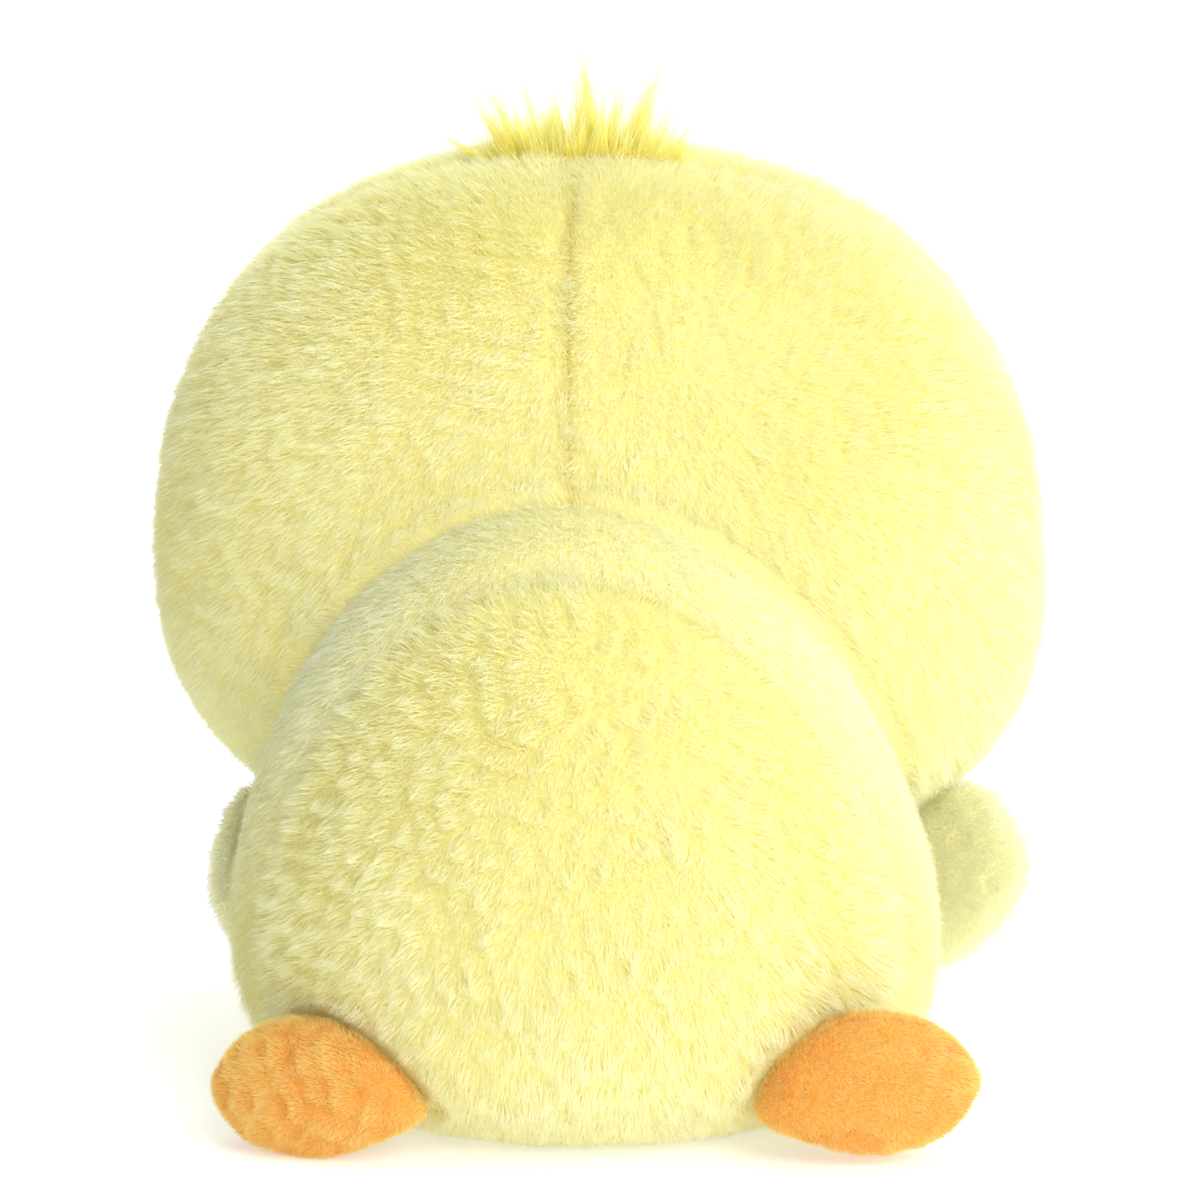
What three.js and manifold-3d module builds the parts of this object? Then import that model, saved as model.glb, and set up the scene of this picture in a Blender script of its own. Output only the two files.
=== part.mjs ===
// A plush chick that lies on its belly with its head up: a loaf-shaped body, a wide head,
// a tuft of long pile on the crown, two short wings and two orange feet.
// Every cover is cut from pile cloth and sewn along its seams, and holds its own filling.
// Millimetres. +Z is up, the face looks along -Y, and the chick's left side is +X.
// The origin is on the surface it lies on, under the widest part of the body.
import * as THREE from "three";
import { mergeVertices } from "three/addons/utils/BufferGeometryUtils.js";
import Module from "manifold-3d";

const wasm = await Module();
wasm.setup();

// Cloth and seams
const bodyWall = 3; // knitted backing with the packed roots of its pile
const wingWall = 2;
const footWall = 1.8; // short-pile cloth
const seamGap = 0.3; // between two panels along their seam
const fitGap = 0.3; // between a cover and what it holds or touches
const seamPull = 2.4; // how deep the stitches draw a seam in
const seamSpread = 4.5; // how far from a seam the cloth is drawn in

// Body
const bodyHalfWidth = 82;
const bodyBack = 81;
const bodyFront = 108;
const bodyUp = 99.5;
const bodyDown = 51.5;
const bodyCentreHeight = 48;
const bodyAside = 3.5; // from the origin to its middle, toward the chick's left
const bodyLean = 0.034; // it leans to its left, this far for each unit of height
const bodyRoundPlan = 2.1;
const bodyRoundUp = 1.8;
const bodyRoundDown = 3;
const rumpSeamBack = 36; // from the origin back to the seam round the rump
const bellySeamHeight = 11;
const neckRoomDepth = 6; // what the filling leaves free where the head is sewn in

// Pouch of pellets that weighs the rump down
const pouchHalfWidth = 38;
const pouchHalfLength = 25;
const pouchHalfHeight = 11;
const pouchBack = 30;
const pouchSag = 1; // how far its weight flattens it onto the belly

// Head
const headHalfWidth = 109.5;
const headFront = 86;
const headBack = 86;
const headUp = 104.5;
const headDown = 75;
const headForward = 75; // from the origin forward to the head's centre
const headHeight = 120;
const headAside = 2; // toward its left: a hand-sewn head sits a little off centre
const headTurn = -2.2; // degrees: it looks a little to its right
const headLean = 0.045; // the stuffed crown leans to its left, this far for each unit of height
const headRoundPlan = 2.15;
const headRoundUp = 2.25;
const headRoundDown = 2.35;
const faceSeamTilt = 19.6; // degrees that the face panel looks upward
const faceSeamForward = 21.6; // from the head's centre to the plane of the face seam

// Eyes: a domed button on a ribbed shank, held by a washer behind the cloth
const eyeRadius = 6.5;
const eyeHeight = 5;
const eyeEdge = 0.8; // height of the button's upright edge
const eyeUndercut = 0.6; // how far its foot lies inside that edge
const eyeShankRadius = 1.9;
const eyeShankLength = 11;
const shankTip = 0.8; // the plain tip below the ribs
const shankTaper = 0.5; // that the tip is narrower than the ribs
const ribCount = 4;
const ribDepth = 0.4;
const ribShare = 0.6; // of a rib's pitch that its slope takes
const eyeSpread = 27; // degrees out from the middle of the face
const eyeLift = 1; // degrees above the middle of the head
const shankClearance = 0.3;
const washerRadius = 6;
const washerThickness = 1.2;
const washerBevel = 0.3;
const clampedWall = 2.4; // the cloth that the washer squeezes flat

// Beak: an upper and a lower half, each stuffed and sewn to the face panel
const beakHalfWidth = 11;
const beakLength = 13;
const beakUpperHeight = 6.5;
const beakLowerHeight = 4;
const beakLowerShort = 2; // how much shorter the lower half is
const beakDrop = 11; // below the middle of the head
const beakCorner = 4; // from the cloth out to the corners of the mouth
const beakSunk = 6; // how deep the pads run before they are cut to the face

// Tuft of long pile, caught in the face seam on the crown
const tuftWidth = 50;
const tuftDepth = 15;
const tuftBacking = 1.6;
const tuftLength = 23;
const tuftLockRadius = 4;
const tuftLockSides = 4;
const tuftColumns = 7;
const tuftRows = 3;
const tuftFan = 34; // degrees that the outermost locks lean out
const tuftStray = 4; // degrees that a lock strays from its neighbours
const tuftSpill = 0.12; // how far the outer rows lean to the front and back
const tuftEndsShorter = 0.35; // share by which the locks at the two ends are shorter
const tuftUneven = 0.15; // share by which neighbouring locks differ in length
const tuftRootsWidth = 0.93; // share of the strip that the locks' roots cover, across
const tuftRootsDepth = 0.77; // and from front to back
const tuftBehindSeam = -2; // from the face seam on the crown back to the tuft's middle
const tuftAside = -0.5; // from the back seam to its middle, toward the chick's left

// Wings: two plies of pile cloth with a thin pad between them
const wingThickness = 8;
const wingSeamForward = 60; // from the origin forward to where the root is sewn on
const wingRootHeight = 38;
const wingRootLength = 11; // of the round root's straight stretch, without its two ends
const wingRootLift = 2; // from the hinge's height up to the root's middle
const wingLeftSweep = 62; // degrees that the folded left wing lies back
const wingRightSweep = 26;
// The wing's outline: out from the hinge, and up from the middle of the root
const wingOutline = [
  [-4, 1],
  [-1, 13],
  [9, 24],
  [22, 29.5],
  [32, 24],
  [38, 12],
  [36, 2],
  [27, -9],
  [14, -16.5],
  [0, -10],
];

// Feet: an upper and a sole of short-pile cloth round a firm filling
const footThickness = 22;
const footSeamSide = 37; // from the middle of the body to where the narrow end is sewn on
const footLeftTurn = 20; // degrees that the left foot turns forward from straight out
const footRightTurn = 9;
const footHeight = 17.2; // of the middle of the foot
const footStandOff = 2.5; // from the rump's cloth out to the foot's middle at its sewn end
const footLeftRoll = -2.5; // degrees that its outer end is raised
const footRightRoll = 2.5;
// The foot's outline: out from its sewn end, and up from its middle
const footOutline = [
  [2, -2.5],
  [7.5, 7.2],
  [19.5, 15],
  [31, 16.6],
  [44, 13],
  [52, 5.5],
  [53.8, -2],
  [47, -11.3],
  [36, -15],
  [25, -15.4],
  [12, -11],
  [4, -7],
];

// How finely the soft forms are divided
const headColumns = 32;
const headFaceRows = 6;
const headBackRows = 8;
const bodyColumns = 26;
const bodyRumpRows = 5;
const bodyFrontRows = 9;
const padColumns = 18;
const padRows = 8;
const beakColumns = 12;
const beakRows = 6;
const tuftStripPieces = 5; // in each quarter of its outline
const wingRootSides = 8;
const roundSides = 16;
const pouchRows = 8;

// How square the section of a pad is: 2 is an ellipse
const padRoundness = 2.2;

const degrees = THREE.MathUtils.degToRad;
const vector = (x, y, z) => new THREE.Vector3(x, y, z);

const palePile = new THREE.MeshStandardMaterial({ color: 0xf7f19b, roughness: 0.95, metalness: 0 });
const tuftPile = new THREE.MeshStandardMaterial({ color: 0xf8e76a, roughness: 0.9, metalness: 0 });
const orangePile = new THREE.MeshStandardMaterial({ color: 0xf5b04c, roughness: 0.95, metalness: 0 });
const whiteFibre = new THREE.MeshStandardMaterial({ color: 0xf4f4f0, roughness: 1, metalness: 0 });
const pouchCloth = new THREE.MeshStandardMaterial({ color: 0xdad6c8, roughness: 0.9, metalness: 0 });
const blackPlastic = new THREE.MeshStandardMaterial({ color: 0x0b0a0a, roughness: 0.12, metalness: 0 });
const whitePlastic = new THREE.MeshStandardMaterial({ color: 0xe9e9e4, roughness: 0.5, metalness: 0 });

// Turns a closed three.js geometry into a solid that can be cut.
function solidOf(geometry) {
  const bare = geometry.clone();
  bare.deleteAttribute("normal");
  bare.deleteAttribute("uv");
  const merged = mergeVertices(bare, 1e-4);
  return new wasm.Manifold(
    new wasm.Mesh({
      numProp: 3,
      vertProperties: new Float32Array(merged.attributes.position.array),
      triVerts: new Uint32Array(merged.index.array),
    }),
  );
}

function geometryOf(solid) {
  const mesh = solid.getMesh();
  const geometry = new THREE.BufferGeometry();
  geometry.setAttribute("position", new THREE.BufferAttribute(mesh.vertProperties, 3));
  geometry.setIndex(new THREE.BufferAttribute(mesh.triVerts, 1));
  geometry.computeVertexNormals();
  return geometry;
}

// Closes a lattice of points into a solid. Row 0 and the last row are its poles.
function latticeSolid(at, rowList, columnList) {
  const middle = rowList.slice(1, -1);
  const points = [at(rowList[0], 0)];
  middle.forEach((row) => columnList.forEach((column) => points.push(at(row, column))));
  points.push(at(rowList[rowList.length - 1], 0));
  const across = columnList.length;
  const index = (row, column) => {
    if (row === 0) return 0;
    if (row > middle.length) return points.length - 1;
    return 1 + (row - 1) * across + (column % across);
  };
  const triangles = [];
  for (let row = 0; row <= middle.length; row++) {
    for (let column = 0; column < across; column++) {
      const corner = index(row, column);
      const below = index(row + 1, column);
      const belowNext = index(row + 1, column + 1);
      const next = index(row, column + 1);
      if (row < middle.length) triangles.push(corner, below, belowNext);
      if (row > 0) triangles.push(corner, belowNext, next);
    }
  }
  const geometry = new THREE.BufferGeometry().setFromPoints(points);
  geometry.setIndex(triangles);
  return solidOf(geometry);
}

// The distance from a plump form's centre to its surface in one direction. The form is an
// ellipsoid with its own length to the front, back, top and bottom, squared off a little.
function reach(shape, direction) {
  const across = Math.abs(direction.x) / shape.halfWidth;
  const along = Math.abs(direction.y) / (direction.y > 0 ? shape.back : shape.front);
  const upright = Math.abs(direction.z) / (direction.z > 0 ? shape.up : shape.down);
  const plan = (across ** shape.roundPlan + along ** shape.roundPlan) ** (1 / shape.roundPlan);
  const roundness = direction.z > 0 ? shape.roundUp : shape.roundDown;
  return (plan ** roundness + upright ** roundness) ** (-1 / roundness);
}

// A place on the form, as deep below its surface as inset says. Seams draw it in.
function placeOn(shape, direction, inset) {
  const far = reach(shape, direction);
  const surface = direction.clone().multiplyScalar(far);
  const drawnIn = shape.seams
    .filter((seam) => !seam.where || seam.where(surface))
    .map((seam) => seamPull * Math.exp(-(((surface.dot(seam.normal) - seam.offset) / seamSpread) ** 2)));
  const place = direction.clone().multiplyScalar(far - Math.max(0, ...drawnIn) - inset);
  place.x += shape.lean * place.z;
  return place;
}

// The outward direction of the form's surface, from places close by.
function normalOn(shape, direction) {
  const step = 0.01;
  const side = vector(0, 0, 1).cross(direction).normalize();
  const upward = direction.clone().cross(side).normalize();
  const near = (axis, sign) => {
    const turned = direction.clone().addScaledVector(axis, sign * step).normalize();
    return placeOn(shape, turned, 0);
  };
  const alongSide = near(side, 1).sub(near(side, -1));
  const alongUp = near(upward, 1).sub(near(upward, -1));
  return alongSide.cross(alongUp).normalize();
}

// A lattice on a plump form whose rows run from the pole on its main seam's side, with one row
// on that seam, one row a little to each side of it, and a column on the middle plane.
function plumpLattice(shape, mainSeam, rowsBefore, rowsAfter, columns) {
  const axis = mainSeam.normal;
  const top = vector(0, 0, 1).addScaledVector(axis, -axis.z).normalize();
  const side = axis.clone().cross(top);
  const directionAt = (polar, round) => {
    const around = top.clone().multiplyScalar(Math.cos(round)).addScaledVector(side, Math.sin(round));
    return axis.clone().multiplyScalar(Math.cos(polar)).addScaledVector(around, Math.sin(polar));
  };
  const seamAngle = (round) => {
    let low = 0;
    let high = Math.PI;
    for (let k = 0; k < 40; k++) {
      const middle = (low + high) / 2;
      const direction = directionAt(middle, round);
      if (direction.dot(axis) * reach(shape, direction) > mainSeam.offset) low = middle;
      else high = middle;
    }
    return low;
  };
  const beside = degrees(4.5);
  const rounds = Array.from({ length: columns }, (_, k) => (2 * Math.PI * k) / columns);
  rounds.push(beside, Math.PI - beside, Math.PI + beside, 2 * Math.PI - beside);
  rounds.sort((a, b) => a - b);
  const seams = rounds.map(seamAngle);
  const rows = rowsBefore + rowsAfter + 2;
  const polarAt = (row, seam) => {
    const seamRow = rowsBefore + 1;
    if (row === seamRow) return seam;
    if (row < seamRow) return ((seam - beside) * row) / rowsBefore;
    return seam + beside + ((Math.PI - seam - beside) * (row - seamRow - 1)) / rowsAfter;
  };
  const at = (inset) => (row, column) =>
    placeOn(shape, directionAt(polarAt(row, seams[column]), rounds[column]), inset);
  const rowList = Array.from({ length: rows + 1 }, (_, k) => k);
  const columnList = rounds.map((_, k) => k);
  const kept = (list, always) => list.filter((k) => always.includes(k) || k % 2 === 0);
  const coarseRows = kept(rowList, [0, rowsBefore + 1, rows]).filter(
    (k) => k !== rowsBefore && k !== rowsBefore + 2,
  );
  const middleColumns = [0, columnList.length / 2];
  return {
    solid: (inset) => latticeSolid(at(inset), rowList, columnList),
    coarseSolid: (inset) => latticeSolid(at(inset), coarseRows, kept(columnList, middleColumns)),
  };
}

// A pad: two cushioned faces that meet along a flat outline, which goes round +Y.
function padSolid(outline, halfThickness, inset, columns = padColumns, rows = padRows) {
  const curve = new THREE.CatmullRomCurve3(
    outline.map(([out, up]) => vector(out, 0, up)),
    true,
    "catmullrom",
    0.5,
  );
  const rim = curve.getSpacedPoints(columns).slice(0, columns);
  const centre = rim.reduce((sum, point) => sum.add(point), vector(0, 0, 0)).divideScalar(rim.length);
  const at = (row, column) => {
    const angle = (Math.PI * row) / rows;
    const spread = Math.sin(angle) ** (2 / padRoundness);
    const lift = Math.sign(Math.cos(angle)) * Math.abs(Math.cos(angle)) ** (2 / padRoundness);
    const out = rim[column].clone().sub(centre);
    out.setLength(Math.max(0.2, out.length() - inset));
    return centre
      .clone()
      .addScaledVector(out, spread)
      .add(vector(0, (halfThickness - inset) * lift, 0));
  };
  const rowList = Array.from({ length: rows + 1 }, (_, k) => k);
  const columnList = Array.from({ length: columns }, (_, k) => k);
  return latticeSolid(at, rowList, columnList);
}

// The hollow in a pad, and what fills it, which need fewer facets than what shows.
const padInside = (outline, halfThickness, inset) =>
  padSolid(outline, halfThickness, inset, padColumns / 2, padRows / 2);

const above = (solid, height) => solid.trimByPlane([0, 0, 1], height);
const below = (solid, height) => solid.trimByPlane([0, 0, -1], -height);
const along = (solid, normal, offset) => solid.trimByPlane(normal.toArray(), offset);
const against = (solid, normal, offset) => solid.trimByPlane(normal.clone().negate().toArray(), -offset);
const seated = (solid, matrix) => solid.transform(matrix.elements);

function addMesh(group, name, solid, material) {
  const mesh = new THREE.Mesh(geometryOf(solid), material);
  mesh.name = name;
  group.add(mesh);
  return mesh;
}

const chick = new THREE.Group();
const halfSeam = seamGap / 2;

// Head, in its own frame with the origin at its centre
const faceNormal = vector(0, -Math.cos(degrees(faceSeamTilt)), Math.sin(degrees(faceSeamTilt)));
const faceSeam = { normal: faceNormal, offset: faceSeamForward };
const backSeam = {
  normal: vector(1, 0, 0),
  offset: 0,
  where: (place) => place.dot(faceNormal) < faceSeamForward,
};
const headShape = {
  halfWidth: headHalfWidth,
  front: headFront,
  back: headBack,
  up: headUp,
  down: headDown,
  roundPlan: headRoundPlan,
  roundUp: headRoundUp,
  roundDown: headRoundDown,
  lean: headLean,
  seams: [faceSeam, backSeam],
};
const headLattice = plumpLattice(headShape, faceSeam, headFaceRows, headBackRows, headColumns);
const headGroup = new THREE.Group();
headGroup.position.set(headAside, -headForward, headHeight);
headGroup.rotation.z = degrees(headTurn);
headGroup.updateMatrix();
chick.add(headGroup);

// A group at a place on the head's surface, with its Y axis pointing out of the cloth.
function groupOnFace(direction) {
  const group = new THREE.Group();
  group.position.copy(placeOn(headShape, direction, 0));
  group.quaternion.setFromUnitVectors(vector(0, 1, 0), normalOn(headShape, direction));
  group.updateMatrix();
  return group;
}

function faceDirection(outward, upward) {
  return vector(
    Math.sin(degrees(outward)) * Math.cos(degrees(upward)),
    -Math.cos(degrees(outward)) * Math.cos(degrees(upward)),
    Math.sin(degrees(upward)),
  );
}

function eyeButton() {
  const profile = [new THREE.Vector2(0, -eyeShankLength)];
  profile.push(new THREE.Vector2(eyeShankRadius - shankTaper, -eyeShankLength));
  const ribPitch = (eyeShankLength - clampedWall - washerThickness) / (ribCount + 1);
  for (let rib = 0; rib < ribCount; rib++) {
    const low = -eyeShankLength + shankTip + rib * ribPitch;
    profile.push(new THREE.Vector2(eyeShankRadius, low));
    profile.push(new THREE.Vector2(eyeShankRadius - ribDepth, low + ribPitch * ribShare));
  }
  profile.push(new THREE.Vector2(eyeShankRadius - ribDepth, fitGap));
  profile.push(new THREE.Vector2(eyeRadius - eyeUndercut, fitGap));
  const rise = eyeHeight - eyeEdge;
  const dome = new THREE.EllipseCurve(0, fitGap + eyeEdge, eyeRadius, rise, 0, Math.PI / 2);
  profile.push(...dome.getPoints(6).slice(0, -1));
  profile.push(new THREE.Vector2(0, fitGap + eyeHeight));
  return new THREE.LatheGeometry(profile, roundSides);
}

function eyeWasher() {
  const bore = eyeShankRadius + shankClearance;
  const low = -washerThickness;
  const profile = [
    [bore, low],
    [washerRadius, low + washerBevel],
    [washerRadius, 0],
    [bore, 0],
    [bore, low],
  ];
  return new THREE.LatheGeometry(
    profile.map(([radius, height]) => new THREE.Vector2(radius, height)),
    roundSides,
  );
}

// A round room from one depth below the cloth's face down to another.
function washerRoom(from, to) {
  const room = new THREE.CylinderGeometry(
    washerRadius + fitGap,
    washerRadius + fitGap,
    to - from,
    roundSides,
  );
  return solidOf(room.translate(0, -(from + to) / 2, 0));
}

let headCover = headLattice.solid(0).subtract(headLattice.coarseSolid(bodyWall));
let headFilling = headLattice.coarseSolid(bodyWall + fitGap);
for (const [side, name] of [
  [1, "left"],
  [-1, "right"],
]) {
  const seat = groupOnFace(faceDirection(side * eyeSpread, eyeLift));
  headGroup.add(seat);
  addMesh(seat, `eye_${name}`, solidOf(eyeButton()), blackPlastic);
  const washer = addMesh(seat, `eye_washer_${name}`, solidOf(eyeWasher()), whitePlastic);
  washer.position.y = -clampedWall - fitGap;
  const shankHole = new THREE.CylinderGeometry(
    eyeShankRadius + shankClearance,
    eyeShankRadius + shankClearance,
    4 * bodyWall,
    roundSides,
  );
  headCover = headCover
    .subtract(seated(solidOf(shankHole), seat.matrix))
    .subtract(seated(washerRoom(clampedWall, eyeShankLength), seat.matrix));
  headFilling = headFilling.subtract(seated(washerRoom(0, eyeShankLength + fitGap), seat.matrix));
}
const headBackCover = against(headCover, faceNormal, faceSeamForward - halfSeam);
addMesh(headGroup, "face_panel", along(headCover, faceNormal, faceSeamForward + halfSeam), palePile);
const leftOfSeam = vector(1, 0, -headLean).normalize();
addMesh(headGroup, "head_left_panel", along(headBackCover, leftOfSeam, halfSeam), palePile);
addMesh(headGroup, "head_right_panel", against(headBackCover, leftOfSeam, -halfSeam), palePile);
addMesh(headGroup, "head_filling", headFilling, whiteFibre);

// What leaves room for the head in the pieces that meet it
const headRoom = headLattice.solid(-fitGap);

// Beak: each half is a stuffed pad, cut to the face and along the mouth line
function beakHalf(height, length) {
  const cheek = [beakHalfWidth * 0.72, length * 0.62];
  const outline = [
    [-beakHalfWidth, beakCorner],
    [-cheek[0], cheek[1]],
    [0, length],
    cheek,
    [beakHalfWidth, beakCorner],
    [0, -beakSunk],
  ];
  return padSolid(outline, height, 0, beakColumns, beakRows);
}

const beakSeat = new THREE.Group();
const beakDirection = faceDirection(0, -THREE.MathUtils.radToDeg(Math.atan(beakDrop / headFront)));
beakSeat.position.copy(placeOn(headShape, beakDirection, 0));
beakSeat.rotation.x = Math.PI / 2;
beakSeat.updateMatrix();
headGroup.add(beakSeat);
const faceRoom = seated(headRoom, beakSeat.matrix.clone().invert());
const mouthSide = vector(0, -1, 0);
const upperBeak = along(beakHalf(beakUpperHeight, beakLength), mouthSide.clone().negate(), halfSeam);
const lowerLength = beakLength - beakLowerShort;
const lowerBeak = along(beakHalf(beakLowerHeight, lowerLength), mouthSide, halfSeam);
addMesh(beakSeat, "beak_upper", upperBeak.subtract(faceRoom), orangePile);
addMesh(beakSeat, "beak_lower", lowerBeak.subtract(faceRoom), orangePile);

// One lock of the tuft, a pointed cone that stands at a place on the head and leans sideways
function tuftLock(foot, length, lean, spill) {
  const lock = new THREE.ConeGeometry(tuftLockRadius, length, tuftLockSides);
  lock.translate(0, length / 2 + fitGap, 0);
  const tip = vector(Math.sin(lean), spill, Math.cos(lean)).normalize();
  const turn = new THREE.Quaternion().setFromUnitVectors(vector(0, 1, 0), tip);
  return seated(solidOf(lock), new THREE.Matrix4().compose(foot, turn, vector(1, 1, 1)));
}

// Tuft: a curved strip of backing with rows of pointed locks that fan out
function tuftSolid() {
  const strip = new THREE.Shape();
  strip.absellipse(0, 0, tuftWidth / 2, tuftDepth / 2, 0, 2 * Math.PI);
  const block = new THREE.ExtrudeGeometry(strip, {
    depth: headUp,
    bevelEnabled: false,
    curveSegments: tuftStripPieces,
  });
  const seamOnCrown = (faceNormal.z * headUp - faceSeamForward) / -faceNormal.y;
  const middle = vector(tuftAside, seamOnCrown + tuftBehindSeam, 0);
  block.translate(middle.x + headLean * headUp, middle.y, 0);
  let tuft = solidOf(block).intersect(headLattice.solid(-fitGap - tuftBacking)).subtract(headRoom);
  for (let row = 0; row < tuftRows; row++) {
    for (let column = 0; column < tuftColumns; column++) {
      const shift = row % 2 ? 0.75 : 0.25;
      const acrossShare = (2 * (column + shift)) / tuftColumns - 1;
      const alongShare = (2 * (row + 0.5)) / tuftRows - 1;
      if (Math.hypot(acrossShare, alongShare) > 1.06) continue;
      const x = middle.x + (acrossShare * tuftRootsWidth * tuftWidth) / 2;
      const y = middle.y + (alongShare * tuftRootsDepth * tuftDepth) / 2;
      const direction = vector(x, y, Math.sqrt(headUp ** 2 - x ** 2 - y ** 2)).normalize();
      const wobble = Math.sin(7.3 * column + 4.1 * row);
      const endShare = 1 - tuftEndsShorter * acrossShare ** 2;
      const length = tuftLength * endShare * (1 - tuftUneven + tuftUneven * wobble);
      const lean = degrees(tuftFan * acrossShare + tuftStray * wobble);
      const foot = placeOn(headShape, direction, 0);
      tuft = tuft.add(tuftLock(foot, length, lean, -tuftSpill * alongShare));
    }
  }
  return tuft.subtract(headRoom);
}

addMesh(headGroup, "crown_tuft", tuftSolid(), tuftPile);

// Body
const rumpSeam = { normal: vector(0, 1, 0), offset: rumpSeamBack };
const bodyShape = {
  halfWidth: bodyHalfWidth,
  front: bodyFront,
  back: bodyBack,
  up: bodyUp,
  down: bodyDown,
  roundPlan: bodyRoundPlan,
  roundUp: bodyRoundUp,
  roundDown: bodyRoundDown,
  lean: bodyLean,
  seams: [rumpSeam],
};
const bodyLattice = plumpLattice(bodyShape, rumpSeam, bodyRumpRows, bodyFrontRows, bodyColumns);
const bodyLift = new THREE.Matrix4().makeTranslation(bodyAside, 0, bodyCentreHeight);
const bodySolid = (inset) => seated(bodyLattice.solid(inset), bodyLift);
const bodyInside = (inset) => above(seated(bodyLattice.coarseSolid(inset), bodyLift), inset);
const headRoomInPlace = seated(headRoom, headGroup.matrix);
const bodyCover = above(bodySolid(0), 0).subtract(bodyInside(bodyWall)).subtract(headRoomInPlace);
const upperCover = above(bodyCover, bellySeamHeight + halfSeam);
addMesh(chick, "rump_panel", along(upperCover, rumpSeam.normal, rumpSeamBack + halfSeam), palePile);
addMesh(chick, "back_panel", against(upperCover, rumpSeam.normal, rumpSeamBack - halfSeam), palePile);
addMesh(chick, "belly_panel", below(bodyCover, bellySeamHeight - halfSeam), palePile);

function pouchSolid(grow) {
  const pillow = new THREE.SphereGeometry(1, roundSides, pouchRows).rotateX(Math.PI / 2);
  pillow.scale(pouchHalfWidth + grow, pouchHalfLength + grow, pouchHalfHeight + grow);
  pillow.translate(bodyAside, pouchBack, pouchHalfHeight + bodyWall - pouchSag);
  return above(solidOf(pillow), bodyWall + fitGap - grow);
}

const bodyRoomInside = bodyInside(bodyWall + fitGap);
addMesh(chick, "pellet_pouch", pouchSolid(0).intersect(bodyRoomInside), pouchCloth);
const neckRoom = seated(headLattice.coarseSolid(-neckRoomDepth), headGroup.matrix);
const bodyFilling = bodyRoomInside.subtract(pouchSolid(fitGap)).subtract(neckRoom);
addMesh(chick, "body_filling", bodyFilling, whiteFibre);

// How far aside the body's middle is at a height
const bodyMiddle = (height) => bodyAside + bodyLean * (height - bodyCentreHeight);

// A point and outward direction on the body's widest outline, as far forward (-Y) or back as y
function bodySideAt(y) {
  const length = y > 0 ? bodyBack : bodyFront;
  const share = Math.abs(y) / length;
  const x = bodyHalfWidth * (1 - share ** bodyRoundPlan) ** (1 / bodyRoundPlan);
  const outward = new THREE.Vector2(
    (x / bodyHalfWidth) ** (bodyRoundPlan - 1) / bodyHalfWidth,
    (Math.sign(y) * share ** (bodyRoundPlan - 1)) / length,
  ).normalize();
  return { x, outward };
}

// A wing's form: the pad and its root, which is round and turns on the upright hinge line.
function wingSolid(padMaker, inset) {
  const half = wingThickness / 2;
  const root = new THREE.CapsuleGeometry(half - inset, wingRootLength, 2, wingRootSides);
  root.rotateX(Math.PI / 2).translate(0, 0, wingRootLift);
  return padMaker(wingOutline, half, inset).add(solidOf(root));
}

// Wings: each is sewn on along its root, just outside the body
function addWing(side, name, sweep) {
  const { x, outward } = bodySideAt(-wingSeamForward);
  const standOff = wingThickness / 2 + fitGap;
  const hinge = new THREE.Group();
  hinge.position.set(
    bodyMiddle(wingRootHeight) + side * (x + outward.x * standOff),
    -wingSeamForward + outward.y * standOff,
    wingRootHeight,
  );
  hinge.rotation.z = side > 0 ? degrees(sweep) : Math.PI - degrees(sweep);
  chick.add(hinge);
  const cover = wingSolid(padSolid, 0).subtract(wingSolid(padInside, wingWall));
  const inward = vector(0, side, 0);
  addMesh(hinge, `wing_${name}_inner_ply`, along(cover, inward, halfSeam), palePile);
  addMesh(hinge, `wing_${name}_outer_ply`, along(cover, inward.clone().negate(), halfSeam), palePile);
  addMesh(hinge, `wing_${name}_padding`, wingSolid(padInside, wingWall + fitGap), whiteFibre);
}

addWing(1, "left", wingLeftSweep);
addWing(-1, "right", wingRightSweep);

// Feet: each swings on its narrow end, which is sewn into the base of the rump
const bodyRoom = above(bodySolid(-fitGap), -1);

function footSeamBack(side) {
  const drop = (bodyCentreHeight - footHeight) / bodyDown;
  const ring = (1 - drop ** bodyRoundDown) ** (1 / bodyRoundDown);
  const share = Math.abs(side * footSeamSide - bodyMiddle(footHeight)) / (bodyHalfWidth * ring);
  return bodyBack * ring * (1 - share ** bodyRoundPlan) ** (1 / bodyRoundPlan) + footStandOff;
}

// The foot's outline, rolled about its sewn end
function rolledFoot(roll) {
  const middle = new THREE.Vector2();
  return footOutline.map((p) => new THREE.Vector2(...p).rotateAround(middle, degrees(roll)).toArray());
}

function addFoot(side, name, turn, roll) {
  const hinge = new THREE.Group();
  hinge.position.set(side * footSeamSide, footSeamBack(side), footHeight);
  hinge.rotation.z = side > 0 ? -degrees(turn) : Math.PI + degrees(turn);
  hinge.updateMatrix();
  chick.add(hinge);
  const room = seated(bodyRoom, hinge.matrix.clone().invert());
  const half = footThickness / 2;
  const outline = rolledFoot(roll);
  const outer = padSolid(outline, half, 0).subtract(room);
  const cover = outer.subtract(padInside(outline, half, footWall));
  const backward = vector(0, side, 0);
  const filling = padInside(outline, half, footWall + fitGap).subtract(room);
  addMesh(hinge, `foot_${name}_sole`, along(cover, backward, halfSeam), orangePile);
  addMesh(hinge, `foot_${name}_upper`, along(cover, backward.clone().negate(), halfSeam), orangePile);
  addMesh(hinge, `foot_${name}_filling`, filling, whiteFibre);
}

addFoot(1, "left", footLeftTurn, footLeftRoll);
addFoot(-1, "right", footRightTurn, footRightRoll);

export default chick;
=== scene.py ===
import math

import bmesh
import bpy
import numpy as np
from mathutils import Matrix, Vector
from mathutils.kdtree import KDTree


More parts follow.
